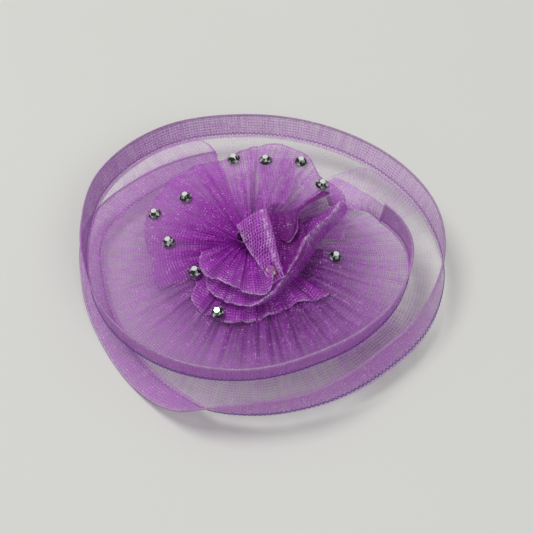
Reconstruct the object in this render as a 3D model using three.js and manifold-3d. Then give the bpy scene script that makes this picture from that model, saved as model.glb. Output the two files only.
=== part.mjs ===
// Organza fascinator: a hemmed organza strip gathered into a two-turn brim, a coiled frill
// flower set with rhinestones, a stiffened felt base, and a beak clip and a brooch pin under it.
// Millimetres, +Z up. The piece lies on its back, so the lowest point is what it rests on.
// Angles are degrees, counter-clockwise seen from above, from +X.

import * as THREE from 'three';
import { mergeVertices } from 'three/addons/utils/BufferGeometryUtils.js';
import Module from 'manifold-3d';

// ---- driving dimensions ----------------------------------------------------------------

const GAP = 0.3;                   // left between pieces that touch

// base
const FELT_RADIUS = 21;
const FELT_THICKNESS = 1.5;
const BUCKRAM_RADIUS = 20;
const BUCKRAM_THICKNESS = 0.8;

// brim: one strip, hemmed along its outer edge and gathered along its inner edge
const BRIM_REACH = 60;             // typical distance from the base's centre to the hem's stitching
const HEM_WIDTH = 7;
const STRIP_THICKNESS = 0.6;
const STRIP_RISE_PER_TURN = 1.5;   // how much the gathered edge climbs in one turn
const STRIP_SAG = 0.04;            // how far the strip hangs at mid-width, for each mm that it spans
const GATHER_RADIUS = 5.5;         // inner end of the gathers, on the buckram
const SHOULDER_RADIUS = 22;        // where the strip leaves the base and starts to fall
const STRIP_JOIN_ANGLE = 432;      // the lower turn ends and the upper turn starts here
const STRIP_SECTION = 6.2;         // length of hem between the strip's sections
const FILAMENT_RADIUS = 0.3;       // nylon line inside the hem's fold
const THREAD_RADIUS = 0.2;
const THREAD_OFFSET = 0.75;        // from the strip's middle to the thread's middle
const LINE_SECTION = 7;            // length of each straight in the nylon line and the thread
const LINE_SIDES = 8;
const THREAD_SIDES = 6;

// flower
const FLOWER_CENTRE = new THREE.Vector2(-2, 4);
const FLOWER_REACH = 40;           // widest radius of the outer frill
const FRILL_THICKNESS = 0.7;
const FRILL_STEP = 8;              // degrees between a frill's sections
const BUD_ANGLE = 252;             // about the flower's centre
const BUD_PLACE_RADIUS = 5.6;      // drawn at FLOWER_DRAWN_REACH
const BUD_HEIGHT = 5.5;
const BUD_MOUTH_RADIUS = 2.6;
const BUD_FOOT_RADIUS = 1.3;
const BUD_WALL = 0.6;
const BUD_FLOOR = 1.65;            // how far up the bud is solid
const BUD_FLOOR_RADIUS = 0.8;

// rhinestones
const STONE_RADIUS = 2.2;
const STONE_TABLE_RADIUS = 1.15;
const STONE_GIRDLE = 0.5;
const STONE_HEIGHT = 1.7;
const STONE_FACETS = 12;

// beak clip
const CLIP_HEIGHT = 9.6;           // closed, over the base jaw and the lever's tail
const CLIP_Y = 4;
const CLIP_TIP_X = -24;
const CLIP_TAIL_X = 22;
const CLIP_SHEET = 0.8;
const CLIP_HALF_WIDTH = 4.3;
const CLIP_TIP_HALF_WIDTH = 2.4;
const CLIP_PIVOT_X = 6;
const CLIP_PIN_RADIUS = 0.85;
const CLIP_EAR = 0.7;              // ear thickness
const CLIP_EAR_RADIUS = 1.6;
const COIL_RADIUS = 1.4;           // middle of the spring's wire
const COIL_WIRE_RADIUS = 0.25;
const COIL_TURNS = 2.5;            // a whole number and a half, so that both legs point to the tail
const COIL_PITCH = 0.9;
const COIL_SECTION = 0.4;          // length of each straight in the spring's wire
const COIL_SIDES = 6;
const UPPER_LEG = [8, -0.2];       // from the coil's end to the leg's tip, along x and z
const LOWER_LEG = [5, -1.6];
const LEVER_NOSE = 5;              // flat length at the lever's tip
const LEVER_WAIST_X = -6;          // where its rise towards the pivot ends
const LEVER_WAIST_RISE = 0.5;
const LEVER_BEND = [1, 9];         // past the pivot, where its tail's slope starts and ends
const LEVER_BEND_TUCK = 0.5;       // that keeps the bend's underside as thick as the sheet
const CLIP_PIN_HEAD = 0.4;         // height of the hinge pin's heads
const CLIP_PIN_LIP = 0.5;          // that they stand out past the pin

// brooch pin
const BROOCH_Y = -9;
const BROOCH_LENGTH = 28;
const BROOCH_WIDTH = 5;
const BROOCH_SHEET = 0.7;
const BROOCH_DROP = 2.5;           // from the bar's underside to the needle
const BROOCH_EAR = 0.6;
const BROOCH_EAR_RADIUS = 1.2;
const NEEDLE_RADIUS = 0.4;
const NEEDLE_EYE_RADIUS = 1.1;
const NEEDLE_EYE_LENGTH = 1.4;
const RIVET_RADIUS = 0.45;
const LOCK_BORE_RADIUS = 0.85;
const LOCK_WALL = 0.6;
const LOCK_LENGTH = 3.4;
const HOUSING_WALL = 0.55;
const HOUSING_LENGTH = 1.4;
const HOUSING_INSET = 1.2;         // from the bar's end to the housing
const HOUSING_OPENING = [-90, 60]; // degrees round the catch's axis, left open for the needle
const LOCK_OPENING = [-90, 45];
const POST_HALF_WIDTH = 1;
const NEEDLE_PAST_LOCK = 0.8;
const NEEDLE_TAPER = 4;
const NEEDLE_TIP_RADIUS = 0.08;
const NEEDLE_ROOT = 0.2;           // that the shank runs into the eye's ring
const RIVET_HEAD = 0.35;
const RIVET_LIP = 0.4;
const LOCK_TAB = { thick: 0.7, reach: 1.3, halfHeight: 0.4 };

// ---- free-form outlines ----------------------------------------------------------------

// Brim strip, along its two turns: angle, radius and height of the hem's stitching, and the
// hem's lean from upright, outward positive. The radii are drawn at BRIM_DRAWN_REACH.
const BRIM_DRAWN_REACH = 60;
const BRIM_OUTLINE = [
  [105, 48.5, 6.5, 80],
  [135, 51.5, 5.5, 78],
  [158, 54.5, 3.8, 78],
  [180, 50.0, 2.6, 94],
  [205, 47.0, 2.4, 104],
  [228, 47.8, 2.8, 104],
  [243, 49.6, 4.0, 78],
  [255, 52.0, 5.2, 30],
  [270, 52.5, 6.0, 3],
  [290, 52.5, 6.0, -5],
  [318, 54.5, 6.0, -32],
  [340, 58.5, 6.0, -28],
  [362, 61.0, 7.0, -3],
  [385, 61.0, 8.5, 25],
  [425, 60.0, 9.0, 30],
  [455, 61.0, 9.0, 30],
  [480, 63.5, 9.0, 28],
  [505, 61.5, 9.5, 25],
  [525, 57.0, 9.5, 15],
  [545, 53.5, 9.5, 8],
  [570, 50.5, 9.5, 2],
  [595, 46.5, 9.3, 2],
  [625, 42.7, 9.7, 8],
  [655, 41.3, 10.0, 5],
  [680, 43.7, 10.0, 3],
  [705, 47.5, 10.3, 5],
  [728, 49.6, 10.6, 6],
  [745, 45.3, 11.4, 12],
  [760, 37.5, 12.2, 15],
];

// The flower's outlines are drawn at FLOWER_DRAWN_REACH.
const FLOWER_DRAWN_REACH = 40;

// Frills: angle about the flower's centre, rim radius, and rim height above the frill's gathers.
const FRILL_OUTLINES = {
  outer: [
    [38, 35, 2.2],
    [50, 36.5, 3.4],
    [62, 39.5, 4.2],
    [80, 40.5, 4.2],
    [100, 39.5, 2.4],
    [118, 40, 0.4],
    [136, 39.5, -1.5],
    [156, 37, -2.2],
    [176, 34.5, -2.6],
    [205, 33, -2.0],
    [240, 31, -1.3],
    [265, 30.5, -1.1],
    [290, 28, -0.8],
    [310, 29, -0.8],
    [325, 30.5, -1.1],
  ],
  middle: [
    [215, 19, 1.4],
    [235, 23.5, 0.6],
    [255, 26, 0.2],
    [278, 26, 0.2],
    [295, 23, 2.0],
    [312, 20, 4.8],
    [335, 18, 6.0],
    [360, 20, 6.0],
    [382, 25, 4.4],
    [405, 30, 2.8],
  ],
  inner: [
    [150, 11, 2.2],
    [185, 14, 2.0],
    [215, 18.5, 1.2],
    [240, 20, 0.8],
    [262, 23, 0.8],
    [280, 23.3, 1.6],
    [292, 18.5, 3.4],
  ],
};

// Rhinestones: the frill each is glued to, its angle and its radius about the flower's centre.
const STONES = [
  ['outer', 156, 34.0],
  ['outer', 137, 29.0],
  ['outer', 177, 26.0],
  ['outer', 214, 20.5],
  ['outer', 250, 28.2],
  ['outer', 99, 34.8],
  ['outer', 81, 33.0],
  ['outer', 62, 36.0],
  ['outer', 44, 32.8],
  ['brim', 0, 25.3],
  ['middle', 295, 16.3],
];

// Upright fold at the flower's heart: points of its foot and of its ridge, about the flower's
// centre, with heights above the inner frill's gathers.
const FOLD_FOOT = [[3.5, 2, 4.2], [4.8, -4, 3.6], [6.6, -10, 3.2], [8.4, -16, 3.4]];
const FOLD_RIDGE = [[5.2, 4.5, 9.8], [7.2, -2.5, 8.2], [9.4, -9.5, 6.0], [10.2, -16.5, 4.8]];

// ---- sizes that follow from them -------------------------------------------------------

const BRIM_SCALE = BRIM_REACH / BRIM_DRAWN_REACH;
const FLOWER_SCALE = FLOWER_REACH / FLOWER_DRAWN_REACH;
const STRIP_STEP = THREE.MathUtils.radToDeg(STRIP_SECTION / BRIM_REACH);
const FELT_BOTTOM = CLIP_HEIGHT + GAP;
const FELT_TOP = FELT_BOTTOM + FELT_THICKNESS;
const BUCKRAM_BOTTOM = FELT_TOP + GAP;
const BUCKRAM_TOP = BUCKRAM_BOTTOM + BUCKRAM_THICKNESS;
const STRIP_START = BRIM_OUTLINE[0][0];
const STRIP_END = BRIM_OUTLINE[BRIM_OUTLINE.length - 1][0];
const LAST_TURN = 720;             // added to an angle on the strip's last turn
const STRIP_TOP = gatherHeight(STRIP_END) + STRIP_THICKNESS / 2;
const OUTER_GATHER = STRIP_TOP + GAP + FRILL_THICKNESS / 2;
const FRILLS = {
  outer: { start: [5.5, OUTER_GATHER], bulge: 1.3 },
  middle: { start: [5, OUTER_GATHER + 2.6], bulge: 0.6 },
  inner: { start: [4, OUTER_GATHER + 5.0], bulge: 0.4 },
};

const COLOURS = {
  organza: { color: 0x9a5bb0, roughness: 0.45, metalness: 0 },
  organzaDeep: { color: 0x7f3193, roughness: 0.45, metalness: 0 },
  thread: { color: 0x4b2f86, roughness: 0.6, metalness: 0 },
  nylon: { color: 0xb9b3bf, roughness: 0.25, metalness: 0 },
  stone: { color: 0xd9dbdc, roughness: 0.08, metalness: 0.9 },
  felt: { color: 0x6e3a86, roughness: 0.95, metalness: 0 },
  buckram: { color: 0xe6e2ea, roughness: 0.9, metalness: 0 },
  nickel: { color: 0xc4c6c8, roughness: 0.28, metalness: 1 },
};

// ---- helpers ---------------------------------------------------------------------------

const wasm = await Module();
wasm.setup();

const headpiece = new THREE.Group();

function add(name, geometry, colour) {
  const mesh = new THREE.Mesh(geometry, new THREE.MeshStandardMaterial(COLOURS[colour]));
  mesh.name = name;
  headpiece.add(mesh);
  return mesh;
}

function toSolid(geometry) {
  const bare = geometry.clone();
  bare.deleteAttribute('normal');
  bare.deleteAttribute('uv');
  const merged = mergeVertices(bare, 1e-4);
  return new wasm.Manifold(new wasm.Mesh({
    numProp: 3,
    vertProperties: new Float32Array(merged.attributes.position.array),
    triVerts: new Uint32Array(merged.index.array),
  }));
}

function fromSolid(solid) {
  const mesh = solid.getMesh();
  const geometry = new THREE.BufferGeometry();
  geometry.setAttribute('position', new THREE.BufferAttribute(mesh.vertProperties, 3));
  geometry.setIndex(new THREE.BufferAttribute(mesh.triVerts, 1));
  geometry.computeVertexNormals();
  return geometry;
}

function joined(...geometries) {
  return fromSolid(geometries.map(toSolid).reduce((whole, piece) => whole.add(piece)));
}

function radians(degrees) {
  return THREE.MathUtils.degToRad(degrees);
}

function polar(angle, radius, height, centre = new THREE.Vector2()) {
  const x = centre.x + radius * Math.cos(radians(angle));
  const y = centre.y + radius * Math.sin(radians(angle));
  return new THREE.Vector3(x, y, height);
}

// A smooth reading of an outline's rows at any angle: each column is a cubic through the rows.
function readOutline(rows, angle) {
  const last = rows.length - 1;
  let i = rows.findIndex((row) => row[0] > angle) - 1;
  if (i < 0) i = angle <= rows[0][0] ? 0 : last - 1;
  const [a, b, c, d] = [rows[Math.max(i - 1, 0)], rows[i], rows[i + 1], rows[Math.min(i + 2, last)]];
  const t = THREE.MathUtils.clamp((angle - b[0]) / (c[0] - b[0]), 0, 1);
  return b.map((_, k) => {
    const slopeB = (c[k] - a[k]) * (c[0] - b[0]) / (c[0] - a[0]);
    const slopeC = (d[k] - b[k]) * (c[0] - b[0]) / (d[0] - b[0]);
    const rise = c[k] - b[k];
    return b[k] + t * (slopeB + t * (3 * rise - 2 * slopeB - slopeC + t * (slopeB + slopeC - 2 * rise)));
  });
}

// A closed solid of even thickness around a grid of points: rows run along the piece, and each
// row's points run across it.
function sheetSolid(rows, thickness) {
  const across = rows[0].length;
  const sides = [[], []];
  rows.forEach((row, i) => row.forEach((point, j) => {
    const along = new THREE.Vector3().subVectors(
      rows[Math.min(i + 1, rows.length - 1)][j], rows[Math.max(i - 1, 0)][j]);
    const over = new THREE.Vector3().subVectors(
      row[Math.min(j + 1, across - 1)], row[Math.max(j - 1, 0)]);
    const normal = new THREE.Vector3().crossVectors(over, along).normalize();
    sides[0].push(point.clone().addScaledVector(normal, thickness / 2));
    sides[1].push(point.clone().addScaledVector(normal, -thickness / 2));
  }));
  const count = rows.length * across;
  const index = [];
  const quad = (a, b, c, d) => index.push(a, b, c, a, c, d);
  const at = (i, j, side) => side * count + i * across + j;
  for (let i = 0; i + 1 < rows.length; i++) {
    for (let j = 0; j + 1 < across; j++) {
      quad(at(i, j, 0), at(i, j + 1, 0), at(i + 1, j + 1, 0), at(i + 1, j, 0));
      quad(at(i, j, 1), at(i + 1, j, 1), at(i + 1, j + 1, 1), at(i, j + 1, 1));
    }
    const end = across - 1;
    quad(at(i, 0, 0), at(i + 1, 0, 0), at(i + 1, 0, 1), at(i, 0, 1));
    quad(at(i, end, 0), at(i, end, 1), at(i + 1, end, 1), at(i + 1, end, 0));
  }
  const final = rows.length - 1;
  for (let j = 0; j + 1 < across; j++) {
    quad(at(0, j, 0), at(0, j, 1), at(0, j + 1, 1), at(0, j + 1, 0));
    quad(at(final, j, 0), at(final, j + 1, 0), at(final, j + 1, 1), at(final, j, 1));
  }
  const geometry = new THREE.BufferGeometry().setFromPoints([...sides[0], ...sides[1]]);
  geometry.setIndex(index);
  geometry.computeVertexNormals();
  return geometry;
}

// A round line through points, in straights of about one section's length.
function lineSolid(points, radius, section, sides) {
  const extrudePath = new THREE.CatmullRomCurve3(points, false, 'centripetal');
  const steps = Math.ceil(extrudePath.getLength() / section);
  const outline = new THREE.Shape();
  for (let i = 0; i < sides; i++) {
    const turn = (i / sides) * 2 * Math.PI;
    const [x, y] = [radius * Math.cos(turn), radius * Math.sin(turn)];
    if (i === 0) outline.moveTo(x, y);
    else outline.lineTo(x, y);
  }
  outline.closePath();
  return new THREE.ExtrudeGeometry(outline, { extrudePath, steps, bevelEnabled: false });
}

function angles(from, to, step) {
  const count = Math.ceil((to - from) / step);
  return Array.from({ length: count + 1 }, (_, i) => from + (to - from) * i / count);
}

// A flat outline in X and Z, given as points, made into a bar of that profile along Y.
function barAlongY(points, width, centreY, hole) {
  const shape = new THREE.Shape(points.map(([x, z]) => new THREE.Vector2(x, z)));
  if (hole) shape.holes.push(new THREE.Path().absarc(hole.x, hole.z, hole.radius, 0, 2 * Math.PI, true));
  const geometry = new THREE.ExtrudeGeometry(shape, { depth: width, bevelEnabled: false, curveSegments: 10 });
  geometry.rotateX(Math.PI / 2);
  geometry.translate(0, centreY + width / 2, 0);
  return geometry;
}

// An ear that hangs from a sheet: a plate with a round end about a pivot and a hole through it.
function ear(pivot, radius, top, holeRadius, thickness, centreY) {
  const outline = [[pivot.x - radius, top]];
  for (let i = 0; i <= 10; i++) {
    const turn = Math.PI + (i / 10) * Math.PI;
    outline.push([pivot.x + radius * Math.cos(turn), pivot.z + radius * Math.sin(turn)]);
  }
  outline.push([pivot.x + radius, top]);
  return barAlongY(outline, thickness, centreY, { x: pivot.x, z: pivot.z, radius: holeRadius });
}

// A pin along Y with a head at each end.
function headedPin(centre, radius, headRadius, halfLength, headThickness) {
  const inner = halfLength - headThickness;
  const profile = [
    [0, -halfLength], [headRadius, -halfLength], [headRadius, -inner], [radius, -inner],
    [radius, inner], [headRadius, inner], [headRadius, halfLength], [0, halfLength],
  ];
  const geometry = new THREE.LatheGeometry(profile.map(([r, y]) => new THREE.Vector2(r, y)), 14);
  geometry.translate(centre.x, centre.y, centre.z);
  return geometry;
}

// An open ring about an axis along X, with its opening centred on openAngle in the YZ plane.
function openRing(centre, inner, outer, length, openAngle, halfOpening) {
  const [from, to] = [radians(openAngle + halfOpening), radians(openAngle + 360 - halfOpening)];
  const shape = new THREE.Shape();
  shape.absarc(0, 0, outer, from, to, false);
  shape.absarc(0, 0, inner, to, from, true);
  shape.closePath();
  const geometry = new THREE.ExtrudeGeometry(shape,
    { depth: length, bevelEnabled: false, curveSegments: 14 });
  geometry.applyMatrix4(new THREE.Matrix4().makeBasis(
    new THREE.Vector3(0, 1, 0), new THREE.Vector3(0, 0, 1), new THREE.Vector3(1, 0, 0)));
  geometry.translate(centre.x - length / 2, centre.y, centre.z);
  return geometry;
}

function box(x0, x1, y0, y1, z0, z1) {
  const geometry = new THREE.BoxGeometry(x1 - x0, y1 - y0, z1 - z0);
  geometry.translate((x0 + x1) / 2, (y0 + y1) / 2, (z0 + z1) / 2);
  return geometry;
}

// ---- base ------------------------------------------------------------------------------

function disc(radius, thickness, bottom) {
  const geometry = new THREE.CylinderGeometry(radius, radius, thickness, 40);
  geometry.rotateX(Math.PI / 2);
  geometry.translate(0, 0, bottom + thickness / 2);
  return geometry;
}

function addBase() {
  add('felt_backing', disc(FELT_RADIUS, FELT_THICKNESS, FELT_BOTTOM), 'felt');
  add('buckram_stiffener', disc(BUCKRAM_RADIUS, BUCKRAM_THICKNESS, BUCKRAM_BOTTOM), 'buckram');
}

// ---- brim ------------------------------------------------------------------------------

function gatherHeight(angle) {
  const lowest = BUCKRAM_TOP + GAP + STRIP_THICKNESS / 2;
  return lowest + STRIP_RISE_PER_TURN * (angle - STRIP_START) / 360;
}

// The hem at one angle: its stitched edge, and the direction across it towards its fold.
function hemAt(angle) {
  const [, radius, height, lean] = readOutline(BRIM_OUTLINE, angle);
  const stitched = polar(angle, radius * BRIM_SCALE, height);
  const across = polar(angle, Math.sin(radians(lean)), Math.cos(radians(lean)));
  return { stitched, across, lean, angle };
}

// The strip's middle surface at one angle, from the gathers out to the hem's fold.
function stripRow(angle) {
  const { stitched, across } = hemAt(angle);
  const shoulder = polar(angle, SHOULDER_RADIUS, gatherHeight(angle));
  const midway = shoulder.clone().lerp(stitched, 0.5);
  midway.z -= STRIP_SAG * shoulder.distanceTo(stitched);
  const width = HEM_WIDTH - FILAMENT_RADIUS - GAP;
  return [
    polar(angle, GATHER_RADIUS, gatherHeight(angle)),
    shoulder,
    midway,
    stitched,
    stitched.clone().addScaledVector(across, width / 2),
    stitched.clone().addScaledVector(across, width),
  ];
}

function addBrim() {
  const gap = THREE.MathUtils.radToDeg(GAP / SHOULDER_RADIUS);
  const lower = angles(STRIP_START, STRIP_JOIN_ANGLE - gap, STRIP_STEP).map(stripRow);
  const upper = angles(STRIP_JOIN_ANGLE, STRIP_END, STRIP_STEP).map(stripRow);
  add('brim_strip_lower_turn', sheetSolid(lower, STRIP_THICKNESS), 'organza');
  add('brim_strip_upper_turn', sheetSolid(upper, STRIP_THICKNESS), 'organza');

  const hem = angles(STRIP_START, STRIP_END, STRIP_STEP).map(hemAt);
  const fold = hem.map(({ stitched, across }) => stitched.clone().addScaledVector(across, HEM_WIDTH));
  add('hem_nylon_line', lineSolid(fold, FILAMENT_RADIUS, LINE_SECTION, LINE_SIDES), 'nylon');

  // the thread lies in the corner between the strip's underside and the hem's outer face
  const thread = hem.map(({ stitched, lean, angle }) => {
    const corner = polar(angle, Math.cos(radians(lean)), -Math.sin(radians(lean)) - 1).normalize();
    return stitched.clone().addScaledVector(corner, THREAD_OFFSET);
  });
  add('hem_stitching', lineSolid(thread, THREAD_RADIUS, LINE_SECTION, THREAD_SIDES), 'thread');
}

// ---- flower ----------------------------------------------------------------------------

// A frill's rim at one angle: its radius, and its height above the gathers. A rim that hangs
// lower than the gathers falls in proportion to its reach past the base's shoulder.
function frillRim(name, angle) {
  const [, drawnRadius, drawnRise] = readOutline(FRILL_OUTLINES[name], angle);
  const radius = drawnRadius * FLOWER_SCALE;
  if (drawnRise > 0) return { radius, rise: drawnRise * FLOWER_SCALE };
  return { radius, rise: drawnRise * (radius - SHOULDER_RADIUS) / (drawnRadius - SHOULDER_RADIUS) };
}

// A frill's middle surface, at an angle about the flower's centre and a share of the way out.
function frillPoint(name, angle, share) {
  const { start: [startRadius, startHeight], bulge } = FRILLS[name];
  const rim = frillRim(name, angle);
  const radius = THREE.MathUtils.lerp(startRadius, rim.radius, share);
  const height = startHeight + rim.rise * share + bulge * Math.sin(Math.PI * share);
  return polar(angle, radius, height, FLOWER_CENTRE);
}

function addFrills() {
  const shares = [0, 0.25, 0.5, 0.75, 1];
  for (const [name, outline] of Object.entries(FRILL_OUTLINES)) {
    const rows = angles(outline[0][0], outline[outline.length - 1][0], FRILL_STEP)
      .map((angle) => shares.map((share) => frillPoint(name, angle, share)));
    add(`flower_frill_${name}`, sheetSolid(rows, FRILL_THICKNESS), 'organzaDeep');
  }
}

function addFlowerHeart() {
  const level = new THREE.Vector3(FLOWER_CENTRE.x, FLOWER_CENTRE.y, FRILLS.inner.start[1]);
  const place = (point) => new THREE.Vector3(...point).multiplyScalar(FLOWER_SCALE).add(level);
  const rows = FOLD_FOOT.map((foot, i) => {
    const [low, high] = [place(foot), place(FOLD_RIDGE[i])];
    return [low, low.clone().lerp(high, 0.5), high];
  });
  add('flower_heart_fold', sheetSolid(rows, FRILL_THICKNESS), 'organzaDeep');

  const inside = BUD_MOUTH_RADIUS - BUD_WALL;
  const profile = [
    [0, 0], [BUD_FOOT_RADIUS, 0], [BUD_MOUTH_RADIUS, BUD_HEIGHT], [inside, BUD_HEIGHT],
    [BUD_FLOOR_RADIUS, BUD_FLOOR], [0, BUD_FLOOR],
  ];
  const bud = new THREE.LatheGeometry(profile.map(([r, z]) => new THREE.Vector2(r, z)), 20);
  bud.rotateX(Math.PI / 2);
  const seat = surfacePoint('inner', BUD_ANGLE, BUD_PLACE_RADIUS);
  bud.translate(seat.x, seat.y, seat.z + FRILL_THICKNESS / 2 + 2 * GAP);
  add('flower_bud_cone', bud, 'organzaDeep');
}

// ---- rhinestones -----------------------------------------------------------------------

// A point on a frill, or on the strip's last turn, at an angle and a drawn radius.
function surfacePoint(name, angle, radius) {
  if (name === 'brim') {
    const row = stripRow(angle + LAST_TURN);
    const share = (radius - SHOULDER_RADIUS) / (row[3].clone().setZ(0).length() - SHOULDER_RADIUS);
    return row[1].clone().lerp(row[3], share);
  }
  const inner = FRILLS[name].start[0];
  const share = (radius * FLOWER_SCALE - inner) / (frillRim(name, angle).radius - inner);
  return frillPoint(name, angle, share);
}

function addStones() {
  const profile = [
    [0, 0], [STONE_RADIUS, 0], [STONE_RADIUS, STONE_GIRDLE],
    [STONE_TABLE_RADIUS, STONE_HEIGHT], [0, STONE_HEIGHT],
  ].map(([r, y]) => new THREE.Vector2(r, y));
  STONES.forEach(([name, angle, radius], i) => {
    const seat = surfacePoint(name, angle, radius);
    const along = surfacePoint(name, angle + 1, radius).sub(seat);
    const out = surfacePoint(name, angle, radius + 1).sub(seat);
    const normal = out.cross(along).normalize();
    const stone = new THREE.LatheGeometry(profile, STONE_FACETS);
    const mesh = add(`rhinestone_${i + 1}`, stone, 'stone');
    mesh.quaternion.setFromUnitVectors(new THREE.Vector3(0, 1, 0), normal);
    mesh.position.copy(seat).addScaledVector(normal, FRILL_THICKNESS / 2 + 2 * GAP);
  });
}

// ---- beak clip -------------------------------------------------------------------------

function addClip() {
  const baseBottom = CLIP_HEIGHT - CLIP_SHEET;
  const pivot = { x: CLIP_PIVOT_X, z: baseBottom - GAP - CLIP_EAR_RADIUS };
  const holeRadius = CLIP_PIN_RADIUS + GAP;
  const baseEarY = CLIP_HALF_WIDTH - CLIP_EAR / 2;
  const leverEarY = baseEarY - CLIP_EAR - GAP;
  const leverHalfWidth = leverEarY + CLIP_EAR / 2;

  const planform = (halfWidth, low, high) => {
    const shape = new THREE.Shape();
    shape.moveTo(CLIP_TAIL_X, -halfWidth);
    shape.lineTo(CLIP_TAIL_X, halfWidth);
    shape.lineTo(pivot.x - 2 * CLIP_EAR_RADIUS, halfWidth);
    shape.lineTo(CLIP_TIP_X, CLIP_TIP_HALF_WIDTH);
    shape.lineTo(CLIP_TIP_X, -CLIP_TIP_HALF_WIDTH);
    shape.lineTo(pivot.x - 2 * CLIP_EAR_RADIUS, -halfWidth);
    shape.closePath();
    const geometry = new THREE.ExtrudeGeometry(shape, { depth: high - low, bevelEnabled: false });
    geometry.translate(0, CLIP_Y, low);
    return geometry;
  };

  const baseEars = [-1, 1].map((side) => ear(
    pivot, CLIP_EAR_RADIUS, baseBottom + CLIP_SHEET / 2, holeRadius, CLIP_EAR, CLIP_Y + side * baseEarY));
  add('clip_base_jaw', joined(planform(CLIP_HALF_WIDTH, baseBottom, CLIP_HEIGHT), ...baseEars), 'nickel');

  // the lever's side profile: a bent strip, closed against the base jaw at its tip
  const underPivot = pivot.z - COIL_RADIUS - COIL_WIRE_RADIUS - GAP;
  const upper = [
    [CLIP_TIP_X, baseBottom - GAP],
    [CLIP_TIP_X + LEVER_NOSE, baseBottom - GAP],
    [LEVER_WAIST_X, underPivot + LEVER_WAIST_RISE],
    [pivot.x + LEVER_BEND[0], underPivot],
    [pivot.x + LEVER_BEND[1], CLIP_SHEET],
    [CLIP_TAIL_X, CLIP_SHEET],
  ];
  const bendEnd = upper.length - 2;
  const under = upper
    .map(([x, z], i) => [x - (i === bendEnd ? LEVER_BEND_TUCK : 0), z - CLIP_SHEET])
    .reverse();
  const strip = toSolid(barAlongY([...upper, ...under], 2 * leverHalfWidth, CLIP_Y));
  const tapered = fromSolid(strip.intersect(toSolid(planform(leverHalfWidth, -GAP, CLIP_HEIGHT))));
  const leverEars = [-1, 1].map((side) => {
    const hanging = ear(pivot, CLIP_EAR_RADIUS, 2 * pivot.z - underPivot + CLIP_SHEET / 2, holeRadius,
      CLIP_EAR, CLIP_Y + side * leverEarY);
    hanging.translate(-pivot.x, -CLIP_Y, -pivot.z);
    hanging.rotateX(Math.PI);
    hanging.translate(pivot.x, CLIP_Y, pivot.z);
    return hanging;
  });
  add('clip_lever_jaw', joined(tapered, ...leverEars), 'nickel');

  const pinHalf = CLIP_HALF_WIDTH + GAP + CLIP_PIN_HEAD;
  add('clip_hinge_pin', headedPin(new THREE.Vector3(pivot.x, CLIP_Y, pivot.z),
    CLIP_PIN_RADIUS, CLIP_PIN_RADIUS + CLIP_PIN_LIP, pinHalf, CLIP_PIN_HEAD), 'nickel');

  // torsion spring: one leg under the base jaw, the coil about the pin, one leg over the lever
  const coil = angles(90, 90 + 360 * COIL_TURNS, 30).map((angle, i, all) => new THREE.Vector3(
    pivot.x + COIL_RADIUS * Math.cos(radians(angle)),
    CLIP_Y - COIL_PITCH * COIL_TURNS / 2 + COIL_PITCH * COIL_TURNS * i / (all.length - 1),
    pivot.z + COIL_RADIUS * Math.sin(radians(angle))));
  const upperLeg = new THREE.Vector3(pivot.x + UPPER_LEG[0], coil[0].y, coil[0].z + UPPER_LEG[1]);
  const last = coil[coil.length - 1];
  const lowerLeg = new THREE.Vector3(pivot.x + LOWER_LEG[0], last.y, last.z + LOWER_LEG[1]);
  coil.reverse();
  const wire = [lowerLeg, ...coil, upperLeg];
  add('clip_spring', lineSolid(wire, COIL_WIRE_RADIUS, COIL_SECTION, COIL_SIDES), 'nickel');
}

// ---- brooch pin ------------------------------------------------------------------------

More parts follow.
